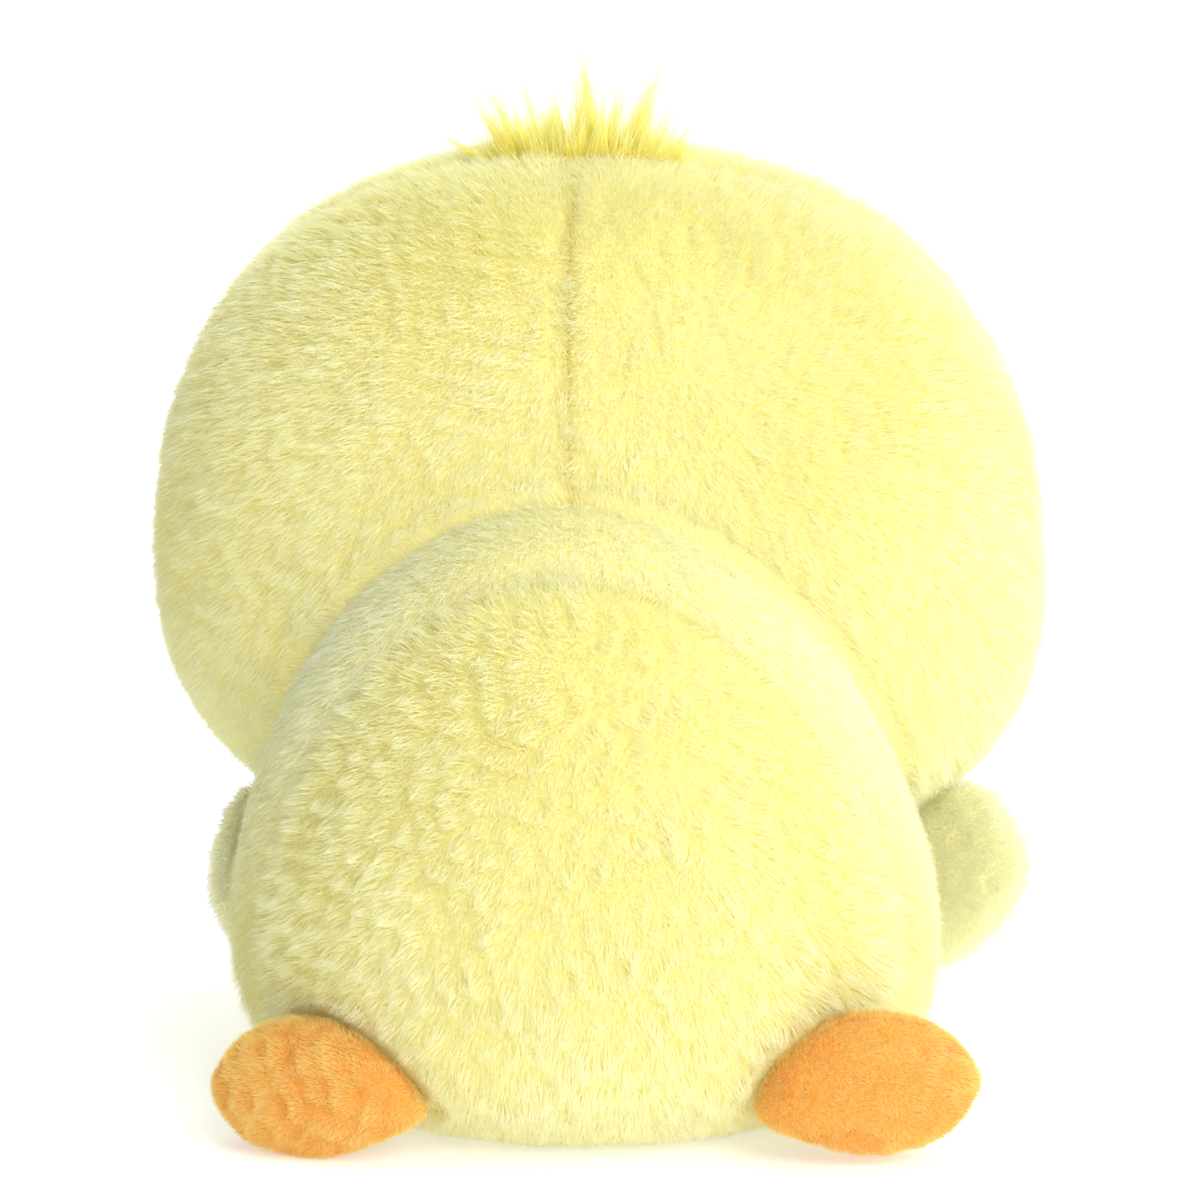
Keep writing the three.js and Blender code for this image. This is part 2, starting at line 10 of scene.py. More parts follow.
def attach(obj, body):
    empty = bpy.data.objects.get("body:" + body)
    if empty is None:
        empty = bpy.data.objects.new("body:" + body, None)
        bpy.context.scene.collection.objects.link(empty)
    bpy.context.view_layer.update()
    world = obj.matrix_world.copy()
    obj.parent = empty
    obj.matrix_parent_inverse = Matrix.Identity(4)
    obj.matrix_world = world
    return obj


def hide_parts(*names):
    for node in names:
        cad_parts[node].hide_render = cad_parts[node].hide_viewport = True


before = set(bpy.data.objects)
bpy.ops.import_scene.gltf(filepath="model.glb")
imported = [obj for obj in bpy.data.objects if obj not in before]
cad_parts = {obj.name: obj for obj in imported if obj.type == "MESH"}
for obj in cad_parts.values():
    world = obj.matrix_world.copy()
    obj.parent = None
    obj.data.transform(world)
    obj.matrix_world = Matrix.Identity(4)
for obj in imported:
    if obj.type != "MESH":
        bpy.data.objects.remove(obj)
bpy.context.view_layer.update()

MM = 0.001

# Cloth and seams: all but the gap at seams are as in the CAD source
BODY_WALL = 3.0
WING_WALL = 2.0
FOOT_WALL = 1.8
HALF_GAP = 0.03  # of a seam: the turned-in edges of two panels meet
FIT_GAP = 0.3
SEAM_PULL = 2.4
SEAM_SPREAD = 4.5

# Head and body
HEAD_PLACE = np.array([2.0, -75.0, 120.0])
HEAD_TURN = math.radians(-2.2)
FACE_TILT = math.radians(19.6)
FACE_SEAM = 21.6
BODY_PLACE = np.array([3.5, 0.0, 48.0])
RUMP_SEAM = 36.0
BELLY_SEAM = 11.0
DART_START, DART_END = np.array([-25.5, 33.9, 97.6]), np.array([-29.2, 44.5, 91.3])

# Wings and feet
WING_THICKNESS = 8.0
WING_ROOT = {"left": np.array([76.65, -61.85, 38.0]), "right": np.array([-70.33, -61.85, 38.0])}
WING_ANGLE = {"left": math.radians(62), "right": math.pi - math.radians(26)}
WING_OUTLINE = [
    [-4, 1], [-1, 13], [9, 24], [22, 29.5], [32, 24],
    [38, 12], [36, 2], [27, -9], [14, -16.5], [0, -10],
]
FOOT_THICKNESS = 22.0
FOOT_ROOT = {"left": np.array([37.0, 70.01, 17.2]), "right": np.array([-37.0, 67.49, 17.2])}
FOOT_ANGLE = {"left": -math.radians(20), "right": math.pi + math.radians(9)}
FOOT_ROLL = {"left": math.radians(-2.5), "right": math.radians(2.5)}
FOOT_OUTLINE = [
    [2, -2.5], [7.5, 7.2], [19.5, 15], [31, 16.6], [44, 13], [52, 5.5],
    [53.8, -2], [47, -11.3], [36, -15], [25, -15.4], [12, -11], [4, -7],
]
PAD_ROUNDNESS = 2.2
WING_ROOT_HEIGHTS = (-3.5, 7.5)  # between these it is sewn on

# Pouch of pellets
POUCH_PLACE = np.array([3.5, 30.0, 13.0])
POUCH_SIZE = np.array([38.0, 25.0, 11.0])

# Face and tuft
EYE_OUTWARD, EYE_UPWARD = 27, 1  # degrees from straight ahead
EYE_RADIUS = 6.5
EYE_SHANK = 11.0
EYE_SHANK_RADIUS = 1.9
EYE_RIM, EYE_DOME = 0.8, 4.2  # heights of the button's rim and of its dome
BEAK_HALF_WIDTH = 11.0
TUFT_WIDTH = 50.0
TUFT_DEPTH = 15.0
TUFT_BACKING = 1.6
TUFT_ASIDE = -0.5
TUFT_BACK = 12.3


def norm(v):
    return np.linalg.norm(v, axis=-1)


def unit(v):
    return v / np.maximum(np.linalg.norm(v, axis=-1, keepdims=True), 1e-12)


def dot(a, b):
    return (a * b).sum(-1, keepdims=True)


def ease(x, low, high):
    t = np.clip((x - low) / (high - low), 0, 1)
    return t * t * (3 - 2 * t)


def whole_turn(count):
    return np.linspace(0, 2 * math.pi, count, endpoint=False)


def turned(points, angle):
    """Points turned about Z."""
    c, s = math.cos(angle), math.sin(angle)
    return points @ np.array([[c, s, 0], [-s, c, 0], [0, 0, 1]])


class Field:
    """A smooth random field made of waves of about one length. Its values have a spread of 1."""

    def __init__(self, seed, wavelength, waves=26):
        draw = np.random.default_rng(seed)
        ways = unit(draw.normal(size=(waves, 3)))
        self.waves = ways * draw.uniform(0.75, 1.35, (waves, 1)) * 2 * math.pi / wavelength
        self.shifts = draw.uniform(0, 2 * math.pi, waves)
        self.scale = math.sqrt(2 / waves)
        self.length = wavelength / (2 * math.pi)

    def value(self, p):
        return self.scale * np.cos(p @ self.waves.T + self.shifts).sum(1, keepdims=True)

    def slope(self, p):
        """The field's gradient, scaled so that its size is about 1."""
        return -self.scale * self.length * np.sin(p @ self.waves.T + self.shifts) @ self.waves


STUFFING = Field(11, 70)  # the slight lumps of a filling
CLUMPS = Field(12, 7.5, 60)  # where pile stands together in clumps
WAVES = Field(13, 24)
BRUSHING = Field(14, 75)
GRAINS = Field(15, 5)  # the pellets' shapes through their pouch


class Form:
    """A plump form: an ellipsoid with its own length each way, squared off a little."""

    def __init__(self, half_width, front, back, up, down, rounds, lean, place, turn, seams):
        self.half_width, self.front, self.back, self.up, self.down = half_width, front, back, up, down
        self.round_plan, self.round_up, self.round_down = rounds
        self.lean, self.at, self.turn, self.seams = lean, place, turn, seams

    def reach(self, way):
        across = np.abs(way[:, 0]) / self.half_width
        along = np.abs(way[:, 1]) / np.where(way[:, 1] > 0, self.back, self.front)
        upright = np.abs(way[:, 2]) / np.where(way[:, 2] > 0, self.up, self.down)
        plan = (across**self.round_plan + along**self.round_plan) ** (1 / self.round_plan)
        power = np.where(way[:, 2] > 0, self.round_up, self.round_down)
        return (plan**power + upright**power) ** (-1 / power)

    def place(self, way, inset=0.0):
        """Places on the form in those directions from its centre. Seams draw it in."""
        far = self.reach(way)
        surface = way * far[:, None]
        pull = np.zeros(len(way))
        for normal, offset, depth, spread, where in self.seams:
            near = depth * np.exp(-(((surface @ normal - offset) / spread) ** 2))
            pull = np.maximum(pull, near * where(surface))
        lumps = 0.35 * (1 + np.clip(STUFFING.value(surface)[:, 0], -1, 1))
        p = way * (far - pull - inset - lumps)[:, None]
        p[:, 0] += self.lean * p[:, 2]
        return turned(p, self.turn) + self.at

    def outside(self, points):
        """How far points lie outside the form, less than 0 inside."""
        p = turned(points - self.at, -self.turn)
        p[:, 0] -= self.lean * p[:, 2]
        return norm(p) - self.reach(unit(p))


def everywhere(places):
    return 1.0


FACE_NORMAL = np.array([0, -math.cos(FACE_TILT), math.sin(FACE_TILT)])
X_AXIS, Y_AXIS, Z_AXIS = np.eye(3)

# Each seam or hollow: its plane's normal and offset, how deep and how wide it is, and where it is
HEAD = Form(
    half_width=109.5, front=86, back=86, up=104.5, down=75, rounds=(2.15, 2.25, 2.35), lean=0.045,
    place=HEAD_PLACE, turn=HEAD_TURN, seams=[
        (FACE_NORMAL, FACE_SEAM, SEAM_PULL, SEAM_SPREAD, everywhere),
        (X_AXIS, 0.0, 1.0, 2.6, lambda p: 1 - ease(p @ FACE_NORMAL, FACE_SEAM - 1, FACE_SEAM + 1)),
        (Z_AXIS, -55.0, 1.0, 10.0, lambda p: ease(np.abs(p[:, 0]), 45, 60)),  # a hollow above each wing
    ],
)
BODY = Form(
    half_width=82, front=108, back=81, up=99.5, down=51.5, rounds=(2.1, 1.8, 3.0), lean=0.034,
    place=BODY_PLACE, turn=0.0, seams=[
        (Y_AXIS, RUMP_SEAM, SEAM_PULL, SEAM_SPREAD, everywhere),
        (Z_AXIS, BELLY_SEAM - BODY_PLACE[2], 1.0, 3.5, everywhere),
    ],
)


class Surface:
    """Triangles in space, facing out."""

    def __init__(self, points, triangles):
        p = points[triangles]
        area = norm(np.cross(p[:, 1] - p[:, 0], p[:, 2] - p[:, 0])) / 2
        self.triangles = triangles[area > 1e-5]
        self.points = points
        self.weld()

    def weld(self):
        _, first, back = np.unique(np.round(self.points, 4), axis=0, return_index=True, return_inverse=True)
        self.points = self.points[first]
        t = back.reshape(-1)[self.triangles]
        t = t[(t[:, 0] != t[:, 1]) & (t[:, 1] != t[:, 2]) & (t[:, 2] != t[:, 0])]
        used, back = np.unique(t, return_inverse=True)
        self.points, self.triangles = self.points[used], back.reshape(t.shape)

    def face_normals(self):
        p = self.points[self.triangles]
        return np.cross(p[:, 1] - p[:, 0], p[:, 2] - p[:, 0]) / 2

    def normals(self):
        total = np.zeros_like(self.points)
        faces = self.face_normals()
        for k in range(3):
            np.add.at(total, self.triangles[:, k], faces)
        return unit(total)

    def scatter(self, density, draw, where=None):
        """Places spread evenly over the triangles, with the smooth normal at each."""
        area = norm(self.face_normals())
        if where is not None:
            area = area * where(self.points[self.triangles].mean(1))
        count = int(area.sum() * density)
        ends = np.cumsum(area)
        picks = (np.arange(count) + draw.random(count)) / count * ends[-1]
        which = np.minimum(np.searchsorted(ends, picks), len(ends) - 1)
        a, b = draw.random((2, count, 1))
        flip = a + b > 1
        a, b = np.where(flip, 1 - a, a), np.where(flip, 1 - b, b)
        shares = np.concatenate([1 - a - b, a, b], 1)[:, :, None]
        corners = self.triangles[which]
        return (self.points[corners] * shares).sum(1), unit((self.normals()[corners] * shares).sum(1))

    def cut(self, normal, offset):
        """Keeps what lies beyond a plane."""
        mesh = bmesh.new()
        corners = [mesh.verts.new(p) for p in self.points]
        for t in self.triangles:
            mesh.faces.new([corners[k] for k in t])
        bmesh.ops.bisect_plane(
            mesh, geom=mesh.verts[:] + mesh.edges[:] + mesh.faces[:],
            plane_co=Vector(normal) * offset, plane_no=Vector(normal), clear_inner=True,
        )
        bmesh.ops.triangulate(mesh, faces=mesh.faces[:])
        mesh.verts.index_update()
        points = np.array([v.co for v in mesh.verts], float)
        triangles = np.array([[v.index for v in f.verts] for f in mesh.faces])
        mesh.free()
        return Surface(points, triangles)

    def open_at(self, form, gap):
        """Takes away what lies inside a form, with the rim drawn onto it."""
        depth = form.outside(self.points) - gap
        pairs = ([0, 1], [1, 2], [2, 0], [1, 0], [2, 1], [0, 2])
        edges = np.vstack([self.triangles[:, pair] for pair in pairs])
        edges = edges[(depth[edges[:, 0]] < 0) & (depth[edges[:, 1]] >= 0)]
        inner, outer = edges.T
        share = depth[inner] / (depth[inner] - depth[outer])
        target = self.points[inner] + (self.points[outer] - self.points[inner]) * share[:, None]
        moved, total, tally = self.points.copy(), np.zeros_like(self.points), np.zeros(len(self.points))
        np.add.at(total, inner, target)
        np.add.at(tally, inner, 1)
        rim = tally > 0
        moved[rim] = total[rim] / tally[rim, None]
        kept = (depth >= 0) | rim
        whole = kept[self.triangles].all(1) & (depth[self.triangles] >= 0).any(1)
        return Surface(moved, self.triangles[whole])

    def pressed_out(self, form, gap, way):
        """Points inside a form go out along way until they lie on it."""
        inside = form.outside(self.points) < gap
        near, far = np.zeros(len(self.points)), np.full(len(self.points), 40.0)
        for _ in range(30):
            middle = (near + far) / 2
            short = form.outside(self.points + way * middle[:, None]) < gap
            near, far = np.where(short, middle, near), np.where(short, far, middle)
        out = self.points + way * far[:, None]
        return Surface(np.where(inside[:, None], out, self.points), self.triangles)

    def moved(self, change):
        return Surface(change(self.points), self.triangles)

    def joined(self, other):
        points = np.vstack([self.points, other.points])
        return Surface(points, np.vstack([self.triangles, other.triangles + len(self.points)]))


def lattice(grid, closed, outward):
    """A surface from a grid of points. outward is a point inside, which it faces away from."""
    rows, columns = grid.shape[:2]
    index = np.arange(rows * columns).reshape(rows, columns)
    if closed:
        index = np.hstack([index, index[:, :1]])
    a, b, c, d = index[:-1, :-1], index[1:, :-1], index[1:, 1:], index[:-1, 1:]
    triangles = np.concatenate([np.stack([a, b, c], -1), np.stack([a, c, d], -1)]).reshape(-1, 3)
    points = grid.reshape(-1, 3)
    p = points[triangles]
    facing = np.cross(p[:, 1] - p[:, 0], p[:, 2] - p[:, 0])
    if (facing * (p.mean(1) - outward)).sum() < 0:
        triangles = triangles[:, ::-1]
    return Surface(points, triangles)


def plump_patch(form, axis, offset, before, rows, turns):
    """The part of a form on one side of its main seam, between two turns round that seam's axis."""
    top = unit(Z_AXIS - axis * axis[2])
    side = np.cross(axis, top)
    around = np.cos(turns)[:, None] * top + np.sin(turns)[:, None] * side

    def ways(polar):
        return np.cos(polar)[:, None] * axis + np.sin(polar)[:, None] * around

    low, high = np.zeros(len(turns)), np.full(len(turns), math.pi)
    edge = offset + (HALF_GAP if before else -HALF_GAP)
    for _ in range(40):
        middle = (low + high) / 2
        way = ways(middle)
        beyond = way @ axis * form.reach(way) > edge
        low, high = np.where(beyond, middle, low), np.where(beyond, high, middle)
    steps = np.linspace(0, 1, rows + 1)
    steps = 1 - (1 - steps) ** 1.35  # rows lie closer near the seam
    grid = []
    for step in steps:
        polar = low * step if before else math.pi - (math.pi - low) * step
        grid.append(form.place(ways(polar)))
    full = abs(turns[-1] - turns[0]) > 2 * math.pi - 0.2
    return lattice(np.array(grid), full, form.at)


FACE_OF = {1: (0, 0.5), -1: (0.5, 1)}  # of a pad's turn over its rim: its +Y face, its other face


def pad_grid(outline, half, rows, columns, faces=(0, 1), inset=0.0, groove=0.0):
    """A pad round an outline, in its own frame: out along X, its thickness along Y, up along Z.
    faces says which part of the turn from its +Y face over its rim to its other face is made."""
    p = np.array(outline, float)
    t = np.linspace(0, 1, 40, endpoint=False)[:, None]
    line = []
    for i in range(len(p)):
        a, b, c, d = (p[(i + k) % len(p)] for k in (-1, 0, 1, 2))
        square, cube = 2 * a - 5 * b + 4 * c - d, 3 * b - a - 3 * c + d
        line.append(b + 0.5 * ((c - a) * t + square * t**2 + cube * t**3))
    ring = np.vstack([*line, line[0][:1]])
    far = np.concatenate([[0], np.cumsum(norm(np.diff(ring, axis=0)))])
    at = np.linspace(0, far[-1], columns, endpoint=False)
    rim = np.stack([np.interp(at, far, ring[:, 0]), np.interp(at, far, ring[:, 1])], 1)
    centre = rim.mean(0)
    angles = np.linspace(faces[0] * math.pi, faces[1] * math.pi, rows + 1)
    grid = np.zeros((rows + 1, columns, 3))
    for row, angle in enumerate(angles):
        spread = max(math.sin(angle), 0) ** (2 / PAD_ROUNDNESS)
        lift = math.copysign(abs(math.cos(angle)) ** (2 / PAD_ROUNDNESS), math.cos(angle))
        long = np.linalg.norm(rim - centre, axis=1, keepdims=True)
        drawn = inset + groove * math.exp(-(((angle - math.pi / 2) / 0.16) ** 2))
        flat = centre + (rim - centre) * spread * np.maximum(long - drawn, 0.2) / long
        grid[row, :, 0], grid[row, :, 1], grid[row, :, 2] = flat[:, 0], (half - inset) * lift, flat[:, 1]
    return grid


def placed(name, data):
    thing = bpy.data.objects.new(name, data)
    bpy.context.scene.collection.objects.link(thing)
    return thing


def new_object(name, points, faces, smooth=True):
    mesh = bpy.data.meshes.new(name)
    mesh.from_pydata((points * MM).tolist(), [], faces.tolist())
    mesh.polygons.foreach_set("use_smooth", np.full(len(mesh.polygons), smooth))
    mesh.update()
    return placed(name, mesh)


def piece(name, surface, material, body, node):
    """A piece with the body that it rides on and the node that it stands for."""
    thing = new_object(name, surface.points, surface.triangles)
    thing.data.materials.append(material)
    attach(thing, body)
    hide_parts(node)
    return thing


def cover(name, surface, wall, material, body, node):
    """A cloth cover: the surface with the wall's thickness behind it."""
    thing = piece(name, surface, material, body, node)
    solid = thing.modifiers.new("Cloth thickness", "SOLIDIFY")
    solid.thickness = wall * MM
    solid.offset = -1


MOST_STRANDS = 64000  # in one piece: a fuller pile is made as a low and a high piece


def cell_map(mesh, count, corner_u, corner_v):
    """Gives each strand a cell of its own in the bake's map, with a margin in it."""
    side = math.ceil(math.sqrt(count))
    column, row = np.arange(count) % side, np.arange(count) // side
    u = (column[:, None] + 0.16 + 0.68 * corner_u[None]) / side
    v = (row[:, None] + 0.12 + 0.76 * corner_v[None]) / side
    layer = mesh.uv_layers.new(name="OFBake")
    layer.data.foreach_set("uv", np.stack([u, v], -1).astype(np.float32).ravel())


def strands(name, roots, normals, steps, widths, random_turn, looks, material, body, slot):
    """Ribbons along the given steps. steps is a list of arrays of moves from ring to ring.
    looks holds for each strand the two numbers that its colour is taken from."""
    if len(roots) > MOST_STRANDS:
        level = np.median(roots[:, 2])
        for part, kept in (("low", roots[:, 2] < level), ("high", roots[:, 2] >= level)):
            strands(f"{name}_{part}", roots[kept], normals[kept], [step[kept] for step in steps], widths,
                    random_turn[kept], [look[kept] for look in looks], material, body, slot)
        return
    count, rings = len(roots), len(steps) + 1
    centres = [roots]
    for step in steps:
        centres.append(centres[-1] + step)
    across = unit(np.cross(unit(steps[0]), normals) + 1e-6)
    along = unit(steps[0] + steps[-1])
    across = unit(across - along * dot(across, along))
    across = across * np.cos(random_turn) + np.cross(along, across) * np.sin(random_turn)
    facing = np.cross(across, along)
    across = np.where(dot(facing, normals) < 0, -across, across)
    per, quads = 2 * rings - 1, rings - 2
    points = np.zeros((count, per, 3))
    for ring in range(rings - 1):
        points[:, 2 * ring] = centres[ring] - across * widths[ring]
        points[:, 2 * ring + 1] = centres[ring] + across * widths[ring]
    points[:, -1] = centres[-1]
    points[:, :, 2] = np.maximum(points[:, :, 2], 0.15)  # above the floor
    corners = [2 * k + corner for k in range(quads) for corner in (0, 1, 3, 2)]
    corners = np.array([*corners, 2 * quads, 2 * quads + 1, per - 1])
    loops = (np.arange(count)[:, None] * per + corners[None]).ravel()
    loop_starts = (np.arange(count)[:, None] * len(corners) + 4 * np.arange(quads + 1)).ravel()
    mesh = bpy.data.meshes.new(name)
    mesh.vertices.add(count * per)
    mesh.vertices.foreach_set("co", (points * MM).astype(np.float32).ravel())
    mesh.loops.add(len(loops))
    mesh.loops.foreach_set("vertex_index", loops.astype(np.int32))
    mesh.polygons.add(len(loop_starts))
    mesh.polygons.foreach_set("loop_start", loop_starts.astype(np.int32))
    mesh.update(calc_edges=True)
    mesh.polygons.foreach_set("use_smooth", np.ones(len(loop_starts), bool))
    share = np.minimum(np.arange(per) // 2, rings - 1) / (rings - 1)
    look = np.zeros((count, per, 3), np.float32)
    look[:, :, 0], look[:, :, 1], look[:, :, 2] = share[None], looks[0], looks[1]
    mesh.attributes.new("pile_look", "FLOAT_VECTOR", "POINT").data.foreach_set("vector", look.ravel())
    corner_u = np.array([0, 1, 1, 0] * quads + [0, 1, 0.5])
    ring_of = np.array([r for k in range(quads) for r in (k, k, k + 1, k + 1)] + [quads, quads, quads + 1])
    cell_map(mesh, count, corner_u, ring_of / (rings - 1))
    mesh.materials.append(material)
    thing = placed(name, mesh)
    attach(thing, body)


class Neighbour:
    """A piece that presses down the pile near it, and pushes it away."""

    def __init__(self, surface, near, reach):
        self.points, self.near, self.reach = surface.points, near, reach
        self.tree = KDTree(len(surface.points))
        for index, point in enumerate(surface.points):
            self.tree.insert(point, index)
        self.tree.balance()

    def __call__(self, roots):
        amount, away = np.zeros((len(roots), 1)), np.zeros((len(roots), 3))
        low, high = self.points.min(0) - self.reach, self.points.max(0) + self.reach
        for k in np.flatnonzero(((roots > low) & (roots < high)).all(1)):
            place, _, distance = self.tree.find(roots[k])
            if distance < self.reach:
                amount[k] = 1 - ease(distance, self.near, self.reach)
                away[k] = (roots[k] - np.array(place)) / max(distance, 0.01)
        return amount, away


def near_form(form, near, reach, behind=None):
    """The same for a whole head or body, or only for what lies behind a place."""
    def press(roots):
        amount = 1 - ease(form.outside(roots)[:, None], near, reach)
        if behind is not None:
            amount = amount * ease(roots[:, 1:2], behind, behind + 30)
        return amount, unit(roots - form.at)

    return press


def near_floor(roots):
    """The same for the floor, which pushes the pile nowhere."""
    return 0.7 * (1 - ease(roots[:, 2:3], -2.0, 15.0)), np.zeros_like(roots)


PARTING = 2.6  # how far from a seam its pile parts


def pile(name, surface, material, body, slot, seed, density, length, width, stand, lie, toward,
         clump=0.85, where=None, seams=(), pressed=(), ruffled=None):
    """Pile cloth's fibres: combed, gathered in clumps and parted at the seams, where their crest is lowered
    so that the material paints shade there. stand and lie are a fibre's lean at its root and at its tip, in
    radians."""
    draw = np.random.default_rng(seed)
    roots, normals = surface.scatter(density, draw, where)
    count = len(roots)
    way = toward(roots, normals) + 0.3 * BRUSHING.slope(roots) + 0.25 * draw.normal(size=(count, 3))
    size = length * draw.uniform(0.75, 1.15, (count, 1))
    crest = 0.5 + 0.5 * np.tanh(0.9 * CLUMPS.value(roots) + 0.5 * WAVES.value(roots))
    size = size * (0.86 + 0.2 * crest)
    for distance, side in [seam(roots) for seam in seams]:
        near = np.exp(-((distance / PARTING) ** 2))
        way = way - side * (0.05 * near)
        # A low crest at a seam: the material paints shade and the seam's colour into the parting.
        crest = crest - 1.1 * near
    if ruffled is not None:
        up = ruffled(roots)
        size = size * (1 + 0.35 * up)
        stand, lie = stand - 0.25 * up, lie - 0.45 * up
    flat = np.zeros((count, 1))
    for press in pressed:
        amount, away = press(roots)
        way = way + away * (2.5 * amount)
        flat = np.maximum(flat, amount)
    size = size * (1 - 0.55 * flat)
    comb = unit(way - normals * dot(way, normals))
    gather = CLUMPS.slope(roots) + 0.6 * WAVES.slope(roots)
    gather = (gather - normals * dot(gather, normals)) * clump
    spread = draw.normal(0, 0.09, (count, 1))
    stand = stand + spread + (1.3 - stand) * flat
    lie = lie + spread + (1.45 - lie) * flat
    first = normals * np.cos(stand) + comb * np.sin(stand)
    last = normals * np.cos(lie) + comb * np.sin(lie)
    steps = [first * size * 0.45 + gather * 0.25, last * size * 0.55 + gather * 0.75]
    looks = (draw.random((count, 1)).astype(np.float32), crest.astype(np.float32))
    half = width / 2
    strands(name, roots, normals, steps, [half, half * 0.8], draw.normal(0, 0.4, (count, 1)),
            looks, material, body, slot)


# Materials
def nodes_of(name):
    """A new material with its nodes, its shader and the place on the object."""
    material = bpy.data.materials.new(name)
    material.use_nodes = True
    tree = material.node_tree
    spot = add(tree, "TexCoord").outputs["Object"]
    return material, tree, tree.nodes["Principled BSDF"], spot


def srgb(colour):
    def linear(v):
        v /= 255
        return v / 12.92 if v <= 0.04045 else ((v + 0.055) / 1.055) ** 2.4

    return (*map(linear, colour), 1)


def feed(tree, node, inputs):
    """Gives a node's inputs their values, or links them to the outputs of other nodes."""
    for key, value in inputs.items():
        if isinstance(value, bpy.types.NodeSocket):
            tree.links.new(value, node.inputs[key])
        else:
            node.inputs[key].default_value = value


def add(tree, kind, inputs=None, **settings):
    node = tree.nodes.new("ShaderNode" + kind)
    for key, value in settings.items():
        setattr(node, key, value)
    feed(tree, node, inputs or {})
    return node


def mix(tree, factor, first, second, blend="MIX"):
    inputs = {0: factor, 6: first, 7: second}
    return add(tree, "Mix", inputs, data_type="RGBA", blend_type=blend).outputs[2]


def fitted(tree, value, low, high, to_low, to_high):
    """The value brought from one range into another, and held there."""
    inputs = {"Value": value, "From Min": low, "From Max": high, "To Min": to_low, "To Max": to_high}
    return add(tree, "MapRange", inputs).outputs["Result"]


def noise(tree, spot, scale, detail=3.0):
    inputs = {"Vector": spot, "Scale": scale, "Detail": detail}
    return add(tree, "TexNoise", inputs).outputs["Fac"]


def bumped(tree, height, strength, distance):
    inputs = {"Height": height, "Strength": strength, "Distance": distance}
    return add(tree, "Bump", inputs).outputs["Normal"]


THROUGH = 0.48  # the share of light that goes through a fibre


def pile_material(name, root, tip, patch, through=THROUGH, seam=None, low=None):
    """Fibres: deeper in colour at the root, partly as painted shade down in the pile, each one a little
    different, with broad soft patches, and drawn to the root colour as painted shade where their crest
    is low. seam is the colour of the parted pile at a seam: its deeper roots, with painted shade in the
    parting. low is the colour taken low down, where the painted sheen above it fades."""
    material, tree, shader, spot = nodes_of(name)
    root, tip, patch = srgb(root), srgb(tip), srgb(patch)
    look = add(tree, "Attribute", attribute_name="pile_look")
    parts = add(tree, "SeparateXYZ", {"Vector": look.outputs["Vector"]})
    along, own, crest = parts.outputs
    # Deeper towards the root: partly the fibres' own colour, partly painted shade down in the pile.
    colour = mix(tree, fitted(tree, along, 0.0, 0.7, 0.1, 1.0), root, tip)
    colour = mix(tree, fitted(tree, noise(tree, spot, 28.0), 0.45, 0.75, 0.0, 0.55), colour, patch)
    # The whiter colour above stands for painted sheen; from 105 mm down it is drawn to low.
    if low is not None:
        height = add(tree, "SeparateXYZ", {"Vector": spot}).outputs["Z"]
        colour = mix(tree, fitted(tree, height, 0.045, 0.105, 0.7, 0.0), colour, srgb(low))
    # Painted shade: where the crest is low, between clumps and at seams, the colour is drawn towards the
    # root colour.
    painted_valley_shade = fitted(tree, crest, 0.0, 0.8, 0.18, 0.0)
    colour = mix(tree, painted_valley_shade, colour, root)
    # Painted shade in a seam's parting, where the deeper roots show.
    if seam is not None:
        colour = mix(tree, fitted(tree, crest, -0.8, -0.1, 0.6, 0.0), colour, srgb(seam))
    shade = fitted(tree, own, 0.0, 1.0, 0.97, 1.03)
    tone = add(tree, "CombineColor", {0: shade, 1: shade, 2: shade})
    colour = mix(tree, 1.0, colour, tone.outputs[0], "MULTIPLY")
    feed(tree, shader, {"Base Color": colour, "Roughness": 0.85, "Specular IOR Level": 0.15,
                        "Sheen Weight": 0.25, "Sheen Roughness": 0.6})
    lit_behind = add(tree, "BsdfTranslucent", {"Color": colour})
    both = add(tree, "MixShader", {0: through, 1: shader.outputs[0], 2: lit_behind.outputs[0]})
    feed(tree, tree.nodes["Material Output"], {"Surface": both.outputs[0]})
    return material


def cloth_material(name, base, deep, scale=900.0):
    """The knitted backing that the pile grows from."""
    material, tree, shader, spot = nodes_of(name)
    base, deep = srgb(base), srgb(deep)
    fine = noise(tree, spot, scale, 4.0)
    colour = mix(tree, fitted(tree, fine, 0.3, 0.7, 0.0, 1.0), deep, base)
    colour = mix(tree, fitted(tree, noise(tree, spot, 45.0), 0.4, 0.7, 0.0, 0.4), colour, deep)
    feed(tree, shader, {"Base Color": colour, "Normal": bumped(tree, fine, 0.6, 0.0008),
                        "Roughness": 0.95, "Sheen Weight": 0.3})
    return material


# The pale pile; seam is its parted roots at a seam, deepened as painted shade.
pale_pile = pile_material("Pale pile", (253, 249, 196), (254, 254, 228), (253, 250, 202),
                          seam=(255, 247, 190))
# The back's pile: whiter, as painted sheen on the upper back where it turns away, and yellower low down.
sheen_painted_pile = pile_material("Pale pile with painted sheen", (253, 252, 216), (254, 255, 239),
                             (253, 253, 222), low=(254, 251, 204))
pale_cloth = cloth_material("Pale backing", (252, 244, 180), (247, 232, 148))
# The wings' pile: the pale pile made lighter, as painted light on the wings.
lit_wing_pile = pile_material("Wing pile, painted light", (254, 252, 216), (255, 255, 240), (254, 253, 224))
# Orange nap: its tips much lighter than its roots, as painted sheen where the nap is seen edge-on at the
# rims.
orange_nap = pile_material("Orange nap", (246, 190, 80), (255, 240, 164), (255, 228, 128))
orange_cloth = cloth_material("Orange backing", (250, 198, 98), (240, 168, 70))
tuft_pile = pile_material("Tuft pile", (255, 245, 140), (255, 254, 208), (255, 249, 164), through=0.7)
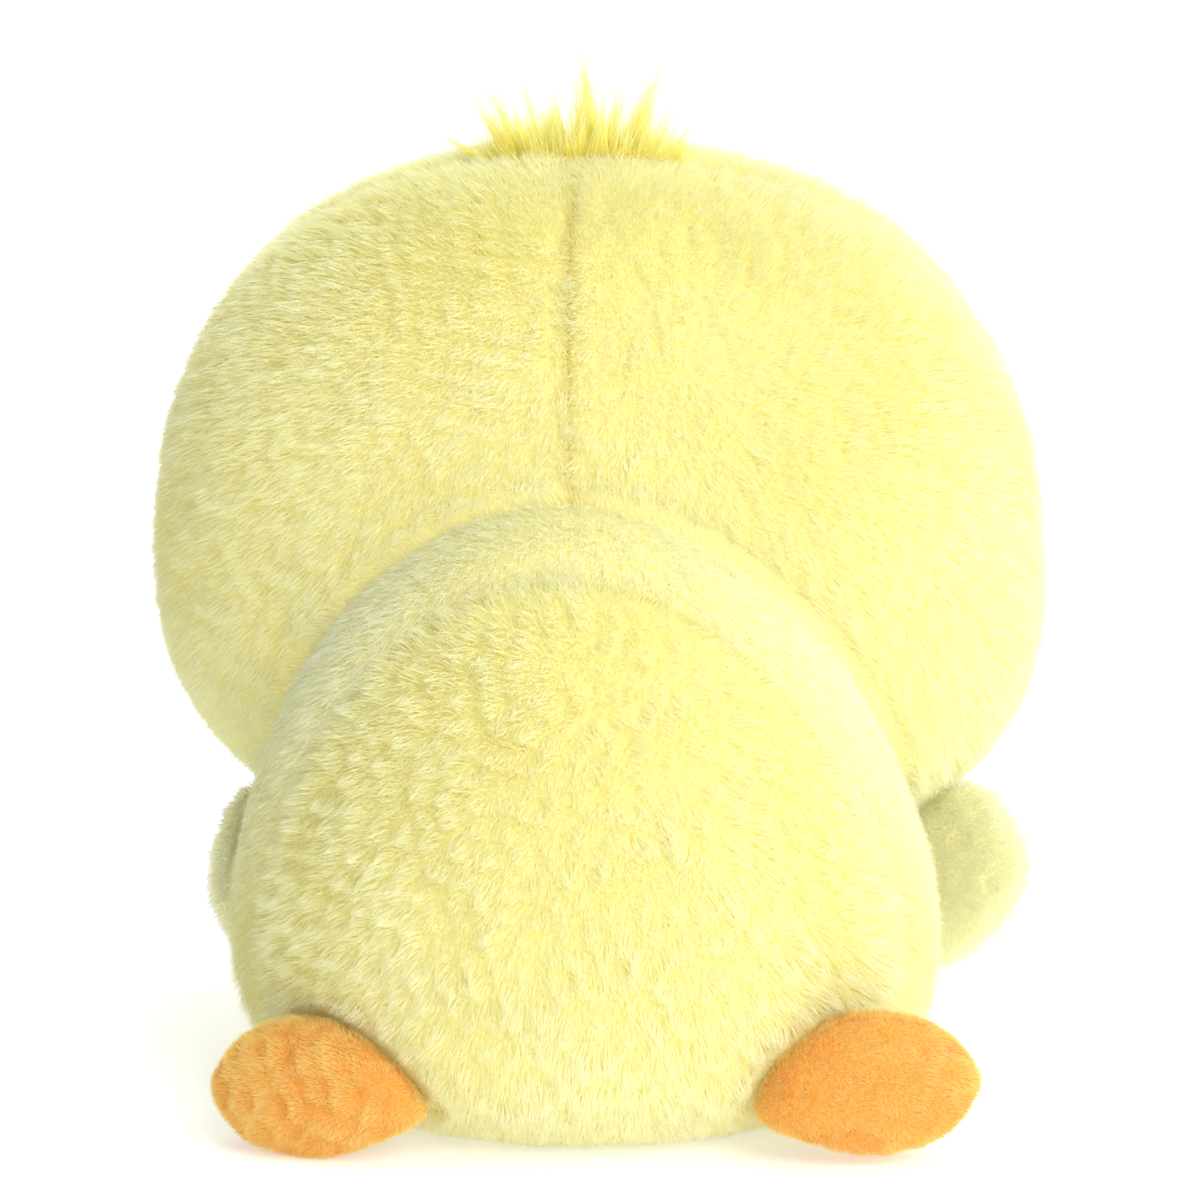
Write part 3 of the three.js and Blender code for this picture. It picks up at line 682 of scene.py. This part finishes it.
# The wings' backing: the pale backing made lighter, as painted light.
lit_wing_cloth = cloth_material("Wing backing, painted light", (253, 251, 218), (250, 247, 203))
tuft_cloth = cloth_material("Tuft backing", (253, 242, 160), (250, 232, 130))


def plastic_material(name, colour, roughness, mottle, coat=0.0):
    """Moulded plastic with the faint unevenness of its mould."""
    material, tree, shader, spot = nodes_of(name)
    mould = noise(tree, spot, 420.0)
    rough = fitted(tree, mould, 0.3, 0.7, roughness * 0.7, roughness * 1.4)
    feed(tree, shader, {"Base Color": mix(tree, mould, srgb(colour), srgb(mottle)), "Roughness": rough,
                        "Normal": bumped(tree, mould, 0.05, 0.0002), "Coat Weight": coat})
    return material


eye_plastic = plastic_material("Eye plastic", (14, 12, 11), 0.1, (26, 22, 20), 0.25)
washer_plastic = plastic_material("Washer plastic", (233, 233, 228), 0.5, (222, 222, 214))
fibre = cloth_material("Polyester fibre", (244, 244, 240), (225, 225, 220), 260.0)
pouch_cloth = cloth_material("Pouch cloth", (222, 218, 204), (196, 190, 172), 1400.0)


# Where the pile is combed
def comb_down(middle, outward):
    """Down, and more and more outward up to 60 from the middle."""
    def way(roots, normals):
        side = np.clip((roots[:, :1] - middle) / 60, -1, 1)
        return -Z_AXIS + outward * side * X_AXIS

    return way


def plane_seam(normal, offset, local=None):
    """A seam as a function of places: how far they are from it, and the way off it."""
    def seam(points):
        p = points if local is None else local(points)
        distance = (p @ normal - offset)[:, None]
        way = np.where(distance < 0, -1.0, 1.0) * normal
        if local is not None:
            way = turned(way, HEAD_TURN)
        return distance, way

    return seam


def head_local(points):
    p = turned(points - HEAD_PLACE, -HEAD_TURN)
    p[:, 0] -= HEAD.lean * p[:, 2]
    return p


face_seam = plane_seam(FACE_NORMAL, FACE_SEAM, head_local)
back_seam = plane_seam(X_AXIS, 0.0, head_local)
rump_seam = plane_seam(Y_AXIS, RUMP_SEAM)


def dart(points):
    """A short tuck in the crown's right side."""
    way = unit(DART_END - DART_START)
    across = unit(np.cross(way, unit(DART_START)))
    p = head_local(points)
    past = np.abs((p - (DART_START + DART_END) / 2) @ way) - np.linalg.norm(DART_END - DART_START) / 2
    aside = (p - DART_START) @ across
    side = turned(np.where(aside[:, None] < 0, -1.0, 1.0) * across, HEAD_TURN)
    return np.hypot(aside, np.maximum(past, 0) * 2)[:, None] * 1.6, side


def low_sides(roots):
    """How much the pile on the body's lower sides is ruffled up."""
    return ease(np.abs(roots[:, :1] - BODY_PLACE[0]), 45, 75) * (1 - ease(roots[:, 2:3], 45, 85))


def crown_right(roots):
    """The same for the crown's right side."""
    return ease(-roots[:, :1], 15, 65) * ease(roots[:, 2:3], 125, 160)


# Where the face is
def on_head(way):
    """The place and outward direction on the head's cloth in one direction from its centre."""
    side = 0.01 * unit(np.cross(Z_AXIS, way))
    up = np.cross(way, side)
    near = HEAD.place(unit(np.array([way, way + side, way - side, way + up, way - up])))
    return near[0], unit(np.cross(near[1] - near[2], near[3] - near[4]))


def face_way(outward, upward):
    out, up = math.radians(outward), math.radians(upward)
    return np.array([math.sin(out) * math.cos(up), -math.cos(out) * math.cos(up), math.sin(up)])


SIDES = ((1, "left"), (-1, "right"))  # the chick's left is +X
eyes = {name: on_head(face_way(side * EYE_OUTWARD, EYE_UPWARD)) for side, name in SIDES}


def clear_of_eyes(points):
    """0 where a button lies on the cloth."""
    off = [norm(points - seat) for seat, _ in eyes.values()]
    return (np.minimum(*off) > EYE_RADIUS + 0.4).astype(float)


def near_eye(seat):
    def press(roots):
        away = roots - seat
        far = norm(away)[:, None]
        return 0.9 * (1 - ease(far, EYE_RADIUS, EYE_RADIUS + 4)), unit(away)

    return press


# Head
back_gap = 0.0003  # half of the angle between the two panels of its back
half_turn = np.linspace(back_gap, math.pi - back_gap, 90)
PALE = dict(body="chick", slot="pale_pile", density=3.0, width=0.24)
# How each kind of pile lies
LOOSE = dict(stand=0.28, lie=0.72, length=5.0, clump=1.0)
EVEN = dict(stand=0.32, lie=0.8, length=5.0, clump=0.6)
SMOOTH = dict(stand=0.65, lie=1.2, length=4.8, clump=0.2)
pressed = [near_form(BODY, 1.5, 9.0, -40.0), *(near_eye(seat) for seat, _ in eyes.values())]


def clear_head(p):
    return (BODY.outside(p) > 0.2).astype(float) * clear_of_eyes(p)


for name, before, rows, turns, seams, seed in (
    ("face", True, 50, whole_turn(150), [face_seam], 21),
    ("head_right", False, 60, half_turn, [face_seam, back_seam, dart], 22),
    ("head_left", False, 60, half_turn + math.pi, [face_seam, back_seam], 23),
):
    surface = plump_patch(HEAD, FACE_NORMAL, FACE_SEAM, before, rows, turns)
    cover(f"{name}_cover", surface, BODY_WALL, pale_cloth, "chick", f"{name}_panel")
    pile(f"{name}_pile", surface, pale_pile, seed=seed, toward=comb_down(HEAD_PLACE[0], 0.55),
         seams=seams, where=clear_head, pressed=pressed, ruffled=crown_right, **PALE, **EVEN)


# Wings: each ply's pile is combed to the wing's tip
def limb_place(root, angle):
    """From a limb's own frame to the object's."""
    return lambda p: turned(p, angle) + root


def wing_ply(side):
    half = WING_THICKNESS / 2
    grid = pad_grid(WING_OUTLINE, half, 22, 84, FACE_OF[side], groove=0.5)
    x, y, z = grid[..., 0], grid[..., 1], grid[..., 2]
    up = np.clip(z, *WING_ROOT_HEIGHTS)
    rim = x[-1 if side > 0 else 0]
    # behind the hinge the root closes at its rim
    inward = np.where((rim < 0) & (x < 0), -half * x / np.minimum(rim, -0.01), x)
    root = np.sqrt(np.maximum(half**2 - inward**2 - (z - up) ** 2, 0))
    grid[..., 1] = side * ((np.abs(y) ** 4 + root**4) ** 0.25 + HALF_GAP)
    return lattice(grid, True, np.array([12.0, -side * 30, 5.0]))


def limb_comb(root, angle):
    def way(roots, normals):
        return 1.1 * unit(roots - root) + 0.5 * turned(X_AXIS, angle) - 0.35 * Z_AXIS

    return way


presses = []  # the wings and feet, which press the body's pile
for side, name in SIDES:
    root, angle, body = WING_ROOT[name], WING_ANGLE[name], f"wing_{name}"
    for ply, sign in (("inner", side), ("outer", -side)):
        surface = wing_ply(sign).moved(limb_place(root, angle))
        cover(f"{body}_{ply}_cover", surface, WING_WALL, lit_wing_cloth, body, f"{body}_{ply}_ply")
        presses.append(Neighbour(surface, 0.5, 4.0))
        pile(f"{body}_{ply}_pile", surface, lit_wing_pile, body, "pale_pile", 40 + side + 2 * sign,
             density=3.4, length=4.6, width=0.24, stand=0.6, lie=1.05, clump=0.6,
             toward=limb_comb(root, angle), pressed=[near_form(BODY, 0.0, 3.0)])


# Feet: short dense nap
def rolled_foot(name):
    """The foot's outline, rolled about its sewn end."""
    c, s = math.cos(FOOT_ROLL[name]), math.sin(FOOT_ROLL[name])
    return np.array(FOOT_OUTLINE) @ np.array([[c, s], [-s, c]])


for side, name in SIDES:
    root, angle, body = FOOT_ROOT[name], FOOT_ANGLE[name], f"foot_{name}"
    for part, sign in (("sole", side), ("upper", -side)):
        grid = pad_grid(rolled_foot(name), FOOT_THICKNESS / 2, 26, 110, FACE_OF[sign], groove=0.9)
        grid[..., 1] += sign * HALF_GAP
        surface = lattice(grid, True, np.array([27.0, -sign * 60, 0.0]))
        surface = surface.moved(limb_place(root, angle)).open_at(BODY, FIT_GAP)
        cover(f"{body}_{part}_cover", surface, FOOT_WALL, orange_cloth, body, f"{body}_{part}")
        pile(f"{body}_{part}_nap", surface, orange_nap, body, "orange_pile", 50 + side + 2 * sign,
             density=9.0, length=1.9, width=0.16, stand=0.2, lie=0.6, clump=0.5,
             toward=limb_comb(root, angle), pressed=[near_form(BODY, 0.5, 2.5)])
        presses.append(Neighbour(surface, 1.5, 7.0))


# Body
def body_patch(before):
    patch = plump_patch(BODY, Y_AXIS, RUMP_SEAM, before, 56, whole_turn(160))
    patch.points[:, 2] = np.maximum(patch.points[:, 2], 0)
    return patch


rump, front = body_patch(True), body_patch(False).open_at(HEAD, FIT_GAP)
upper = {"rump": rump.cut(Z_AXIS, BELLY_SEAM + HALF_GAP), "back": front.cut(Z_AXIS, BELLY_SEAM + HALF_GAP)}
belly = rump.joined(front).cut(-Z_AXIS, HALF_GAP - BELLY_SEAM)


def open_cloth(p):
    """0 where the head or the floor lies on the cloth."""
    return ((HEAD.outside(p) > 0.3) & (p[:, 2] > 0.4)).astype(float)


def along_back(p):
    """0 at the breast and 1 at the back."""
    return ease(p[:, 1], -45, -10)


for name, surface in (*upper.items(), ("belly", belly)):
    cover(f"{name}_cover", surface, BODY_WALL, pale_cloth, "chick", f"{name}_panel")
for name, surface, material, seed, share, lay in (
    ("rump", upper["rump"], pale_pile, 31, everywhere, LOOSE),
    ("back", upper["back"], sheen_painted_pile, 32, along_back, SMOOTH),
    ("breast", upper["back"], pale_pile, 34, lambda p: 1 - along_back(p), EVEN),
    ("belly", belly, pale_pile, 33, everywhere, LOOSE),
):
    pile(f"{name}_pile", surface, material, seed=seed, toward=comb_down(0.0, 0.3), seams=[rump_seam],
         where=lambda p: open_cloth(p) * share(p), pressed=[near_floor, *presses], ruffled=low_sides,
         **PALE, **lay)


# Face
def lathe(profile, sides, place, axis):
    """A turned form about an axis: the profile holds radius and height."""
    across = unit(np.cross(axis, X_AXIS))
    other = np.cross(axis, across)
    angles = whole_turn(sides)[:, None]
    rings = [place + axis * h + r * (np.cos(angles) * across + np.sin(angles) * other) for r, h in profile]
    return lattice(np.array(rings), True, place)


def eye_profile():
    points = [(0.0, -EYE_SHANK), (EYE_SHANK_RADIUS - 0.5, -EYE_SHANK)]
    for rib in range(4):
        low = -EYE_SHANK + 0.8 + rib * 1.5
        points += [(EYE_SHANK_RADIUS, low), (EYE_SHANK_RADIUS - 0.4, low + 0.9)]
    points += [(EYE_SHANK_RADIUS - 0.4, FIT_GAP), (EYE_RADIUS - 0.9, FIT_GAP)]
    points += [(EYE_RADIUS - 0.35, FIT_GAP + 0.12), (EYE_RADIUS - 0.08, FIT_GAP + 0.4)]
    for k in range(17):
        turn = math.pi / 2 * k / 16
        points += [(EYE_RADIUS * math.cos(turn), FIT_GAP + EYE_RIM + EYE_DOME * math.sin(turn))]
    return points


for name, (seat, out) in eyes.items():
    button = lathe(eye_profile(), 64, seat, out)
    piece(f"eye_{name}_button", button, eye_plastic, "chick", f"eye_{name}")

beak_seat = on_head(unit(np.array([0, -86.0, -11.0])))[0]


def beak_half(sign, height, length):
    cheek = [BEAK_HALF_WIDTH * 0.72, length * 0.62]
    outline = [[-BEAK_HALF_WIDTH, 4], [-cheek[0], cheek[1]], [0, length], cheek,
               [BEAK_HALF_WIDTH, 4], [0, -6]]
    grid = pad_grid(outline, height, 18, 72, FACE_OF[sign])
    grid[..., 1] += sign * HALF_GAP
    rim = grid[-1:] if sign > 0 else grid[:1]
    middle = rim.mean(1, keepdims=True)
    mouth = np.concatenate([middle + (rim - middle) * share for share in (0.0, 0.35, 0.7, 0.92)])
    grid = np.concatenate([grid, mouth[::-1]]) if sign > 0 else np.concatenate([mouth, grid])

    def place(p):
        return turned(np.stack([p[:, 0], -p[:, 2], p[:, 1]], 1), HEAD_TURN) + beak_seat

    closed = lattice(grid, True, np.array([0, sign * height * 0.4, length * 0.4])).moved(place)
    return closed.pressed_out(HEAD, FIT_GAP, turned(-Y_AXIS, HEAD_TURN))


for name, sign, height, length in (("upper", 1, 6.5, 13), ("lower", -1, 4, 11)):
    surface = beak_half(sign, height, length)
    piece(f"beak_{name}_cover", surface, orange_cloth, "chick", f"beak_{name}")
    pile(f"beak_{name}_nap", surface, orange_nap, "chick", "orange_pile", 60 + sign,
         density=7.0, length=1.5, width=0.18, stand=0.4, lie=0.9, clump=0.25,
         toward=lambda roots, normals: -Y_AXIS + 0 * roots,
         where=lambda p: (HEAD.outside(p) > 0.6).astype(float))


# Tuft: long pile in locks that fan out from a strip in the face seam
def tuft_place(across, along):
    """A place on the tuft's strip, from -1 to 1 across it and from its front to its back."""
    x = TUFT_ASIDE + across * TUFT_WIDTH / 2
    y = TUFT_BACK + along * TUFT_DEPTH / 2
    way = unit(np.stack([x, y, np.sqrt(HEAD.up**2 - x**2 - y**2)], 1))
    return HEAD.place(way), turned(unit(way * np.array([0.7, 0.7, 1.0])), HEAD_TURN)


# The longest locks: where each one is rooted across the strip, its lean in degrees and its length
TUFT_SPIKES = np.array([
    [-0.02, -1, 33], [0.36, 15, 30], [0.56, 24, 27], [0.7, 33, 25], [0.9, 58, 17], [0.2, 7, 24],
    [-0.28, -9, 25], [-0.46, -20, 29], [-0.68, -24, 23], [-0.86, -30, 18], [-0.1, 4, 26],
])


STRAY_SHARE = 0.24  # of the tuft's fibres, which stand outside its locks


def tuft_strands(name, seed, count, locks, length, lift, gather, width, spill, spikes=TUFT_SPIKES[:0]):
    """Fibres in locks. They start a lift above their strip, and spill leans them to front and back."""
    draw = np.random.default_rng(seed)

    def disc(n):
        angle, far = draw.uniform(0, 2 * math.pi, n), np.sqrt(draw.random(n))
        return far * np.cos(angle), far * np.sin(angle)

    across, along = disc(count)
    lock_across, lock_along = disc(locks)
    lock_across[:len(spikes)], lock_along[:len(spikes)] = spikes[:, 0], 0.3 * lock_along[:len(spikes)]
    apart = (across[:, None] - lock_across) ** 2 + ((along[:, None] - lock_along) * 0.5) ** 2
    nearest = np.argmin(apart, axis=1)
    lean = np.radians(40 * lock_across + draw.normal(0, 7, locks))
    lean[:len(spikes)] = np.radians(spikes[:, 1])
    tips = unit(np.stack([np.sin(lean), spill * lock_along + draw.normal(0, 0.08, locks), np.cos(lean)], 1))
    far = length * (1 - 0.3 * lock_across**2) * draw.uniform(0.6, 1.1, locks)
    far[:len(spikes)] = spikes[:, 2]
    base, _ = tuft_place(lock_across, lock_along)
    roots, normals = tuft_place(across * 0.96, along * 0.96)
    roots = roots + normals * lift
    stray = draw.random(count) < STRAY_SHARE
    own_lean = np.radians(44 * across + draw.normal(0, 14, count))
    own_spill = spill * along + draw.normal(0, 0.2, count)
    own = unit(np.stack([np.sin(own_lean), own_spill, np.cos(own_lean)], 1))
    way = turned(np.where(stray[:, None], own, tips[nearest]), HEAD_TURN)
    size = (far[nearest] * (0.36 + 0.66 * draw.random(count)))[:, None]
    start = np.where(stray[:, None], roots, base[nearest] + normals * lift)
    shares = np.linspace(0, 1, 6)[:, None, None]
    spread = (1 - gather * shares) ** 1.6
    loose = draw.normal(0, 0.028, (count, 3)) * size
    curl = draw.normal(0, 0.04, (count, 3)) * size
    line = start + way * size * shares + (roots - start) * spread
    line = line + loose * shares + curl * 4 * shares * (1 - shares)
    steps = list(np.diff(line, axis=0))
    # size / length stands in for the crest: the material draws the shorter fibres to the root colour as
    # painted shade.
    looks = [draw.random((count, 1)), size / length]
    widths = [width / 2 * k for k in (1, 1, 0.85, 0.6, 0.35)]
    strands(name, roots, normals, steps, widths, draw.uniform(-0.9, 0.9, (count, 1)), looks, tuft_pile,
            "chick", "tuft_pile")


turns = whole_turn(60)
grid = np.array([tuft_place(np.cos(turns) * far, np.sin(turns) * far)[0]
                 for far in (0.0, 0.2, 0.4, 0.6, 0.8, 0.95, 1.0)])
strip = lattice(grid, True, HEAD.at).moved(lambda p: p + unit(p - HEAD.at) * (TUFT_BACKING + FIT_GAP))
cover("tuft_backing", strip, TUFT_BACKING, tuft_cloth, "chick", "crown_tuft")
tuft_strands("tuft_locks", seed=71, count=3200, locks=30, length=18.5, lift=1.4, gather=0.96,
             width=0.17, spill=0.2, spikes=TUFT_SPIKES)
tuft_strands("tuft_underpile", seed=72, count=1800, locks=110, length=13.5, lift=1.2, gather=0.6,
             width=0.24, spill=0.35)


# Fillings: tufts of fibre pressed into the shape of their covers
def star(centre, limit, rows=48, columns=72):
    """A closed form round a centre, as far each way as limit says."""
    polar = np.linspace(0, math.pi, rows + 1)[:, None]
    turn = whole_turn(columns)[None]
    ways = [np.sin(polar) * np.cos(turn), np.sin(polar) * np.sin(turn), np.cos(polar) + 0 * turn]
    ways = np.stack(ways, -1).reshape(-1, 3)
    places = limit(unit(ways)).reshape(rows + 1, columns, 3)
    return lattice(places, True, centre)


def held_back(centre, places, blocks):
    """Draws places back towards a centre until no block says that they're inside it."""
    low, high = np.zeros(len(places)), np.ones(len(places))
    for _ in range(26):
        middle = (low + high) / 2
        free = np.ones(len(places), bool)
        for share in (0.5, 0.7, 0.85, 1.0):
            at = centre + (places - centre) * (middle * share)[:, None]
            for block in blocks:
                free &= block(at) > 0
        low, high = np.where(free, middle, low), np.where(free, high, middle)
    return centre + (places - centre) * low[:, None]


def lumps(places, depth):
    return depth * (0.5 + 0.5 * np.tanh(CLUMPS.value(places) + WAVES.value(places)))[:, 0]


def head_filling(ways):
    rough = HEAD.place(ways, BODY_WALL + FIT_GAP)
    inset = BODY_WALL + FIT_GAP + lumps(rough, 1.2)
    for seat, _ in eyes.values():
        axis = unit(seat - HEAD_PLACE)
        off = norm(rough - HEAD_PLACE - dot(rough - HEAD_PLACE, axis) * axis)
        facing = (rough - HEAD_PLACE) @ axis > 0
        inset = inset + 10.0 * facing * (1 - ease(off, 7.5, 12.0))  # room for the eye's shank and washer
    return np.concatenate([HEAD.place(ways[k:k + 1], inset[k]) for k in range(len(ways))])


def pouch_outside(points, grow=0.0):
    p = (points - POUCH_PLACE) / (POUCH_SIZE + grow)
    return (norm(p) - 1) * POUCH_SIZE[2]


def pouch(ways):
    grains = 0.35 * np.tanh(1.5 * GRAINS.value(ways * POUCH_SIZE))[:, 0] - 0.35
    p = POUCH_PLACE + ways * (POUCH_SIZE + grains[:, None])
    p[:, 2] = np.maximum(p[:, 2], BODY_WALL + FIT_GAP)
    return p


def body_filling(ways):
    rough = BODY.place(ways, BODY_WALL + FIT_GAP)
    places = rough - ways * lumps(rough, 1.2)[:, None]
    places[:, 2] = np.maximum(places[:, 2], BODY_WALL + FIT_GAP)
    blocks = [lambda p: HEAD.outside(p) - BODY_WALL, lambda p: pouch_outside(p, FIT_GAP) - 0.2]
    return held_back(BODY.at, places, blocks)


piece("head_stuffing", star(HEAD.at, head_filling), fibre, "chick", "head_filling")
piece("body_stuffing", star(BODY.at, body_filling), fibre, "chick", "body_filling")
piece("pellet_bag", star(POUCH_PLACE, pouch), pouch_cloth, "chick", "pellet_pouch")


def limb_filling(body, kind, node, outline, thickness, wall, root, angle, clear):
    grid = pad_grid(outline, thickness / 2, 20, 60, inset=wall + FIT_GAP)
    surface = lattice(grid, True, grid.reshape(-1, 3).mean(0)).moved(limb_place(root, angle))
    surface.points -= surface.normals() * lumps(surface.points, 0.6)[:, None] * min(1, thickness / 16)
    if clear:
        surface = surface.pressed_out(BODY, FIT_GAP + 0.3, turned(X_AXIS, angle))
    piece(f"{body}_{kind}", surface, fibre, body, f"{body}_{node}")


for side, name in SIDES:
    limb_filling(f"wing_{name}", "wadding", "padding", WING_OUTLINE, WING_THICKNESS, WING_WALL,
                 WING_ROOT[name], WING_ANGLE[name], False)
    limb_filling(f"foot_{name}", "stuffing", "filling", rolled_foot(name), FOOT_THICKNESS, FOOT_WALL,
                 FOOT_ROOT[name], FOOT_ANGLE[name], True)
    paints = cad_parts[f"eye_washer_{name}"].data.materials
    paints.clear()
    paints.append(washer_plastic)

# Camera: behind the chick, a little above, as the photograph was taken
camera = placed("Camera", bpy.data.cameras.new("Camera"))
bpy.context.scene.camera = camera
eye, target = Vector((-0.0491, 1.4657, 0.3547)), Vector((0, -0.015, 0.12))
camera.location = eye
camera.rotation_euler = (eye - target).to_track_quat("Z", "Y").to_euler()
camera.data.sensor_width, camera.data.lens = 36, 185.2
camera.data.clip_start, camera.data.clip_end = 0.1, 20

# Floor and light
FLOOR_HALF = 12000.0
corners = np.array([[-1, -1, 0], [1, -1, 0], [1, 1, 0], [-1, 1, 0]]) * FLOOR_HALF
floor = new_object("Floor", corners, np.array([[0, 1, 2, 3]]), False)
paint, tree, shader, spot = nodes_of("Floor paint")
far = add(tree, "VectorMath", {0: spot}, operation="LENGTH").outputs["Value"]
glow = fitted(tree, far, 0.5, 4.0, 0.4, 1.0)
feed(tree, shader, {"Base Color": (0.93, 0.93, 0.92, 1), "Roughness": 0.9,
                    "Emission Color": (1, 1, 1, 1), "Emission Strength": glow})
floor.data.materials.append(paint)

LIGHTS_AIM = Vector((0, 0, 0.1))
for name, place, size, power, colour in (
    ("Key", (-0.9, 1.6, 1.1), 1.2, 27.5, (1, 0.99, 0.96)),
    ("Fill", (1.6, 1.4, 0.8), 1.6, 1, (0.96, 1, 0.98)),
    ("Front", (0.5, -1.7, 1.0), 1.4, 9, (1, 1, 0.98)),
    ("Top", (-0.1, -0.2, 1.9), 1.6, 16.5, (0.92, 0.99, 1)),
):
    light = bpy.data.lights.new(name, "AREA")
    light.size, light.energy, light.color = size, power, colour
    lamp = placed(name, light)
    lamp.location = place
    lamp.rotation_euler = (Vector(place) - LIGHTS_AIM).to_track_quat("Z", "Y").to_euler()

WHITE_WALL = 1.07  # the light of the wall that is seen, and of the horizon
world = bpy.data.worlds.new("Studio")
bpy.context.scene.world = world
world.use_nodes = True
tree = world.node_tree
direction = add(tree, "TexCoord").outputs["Generated"]
parts = add(tree, "SeparateXYZ", {"Vector": direction}).outputs
side_light = fitted(tree, parts["X"], -0.9, 0.48, 0.96, 0.03)
wall_light = fitted(tree, parts["Y"], -0.95, -0.6, 1.0, 0.0)
studio = add(tree, "Mix", {0: wall_light, 2: side_light, 3: WHITE_WALL}).outputs[0]
height = add(tree, "Math", {0: parts["Z"]}, operation="ABSOLUTE").outputs[0]
horizon = fitted(tree, height, 0.05, 0.09, 1.0, 0.0)
studio = add(tree, "Mix", {0: horizon, 2: studio, 3: WHITE_WALL}).outputs[0]
feed(tree, tree.nodes["Background"], {"Strength": studio, "Color": (0.97, 1, 0.985, 1)})
bpy.context.scene.view_settings.view_transform = "Standard"
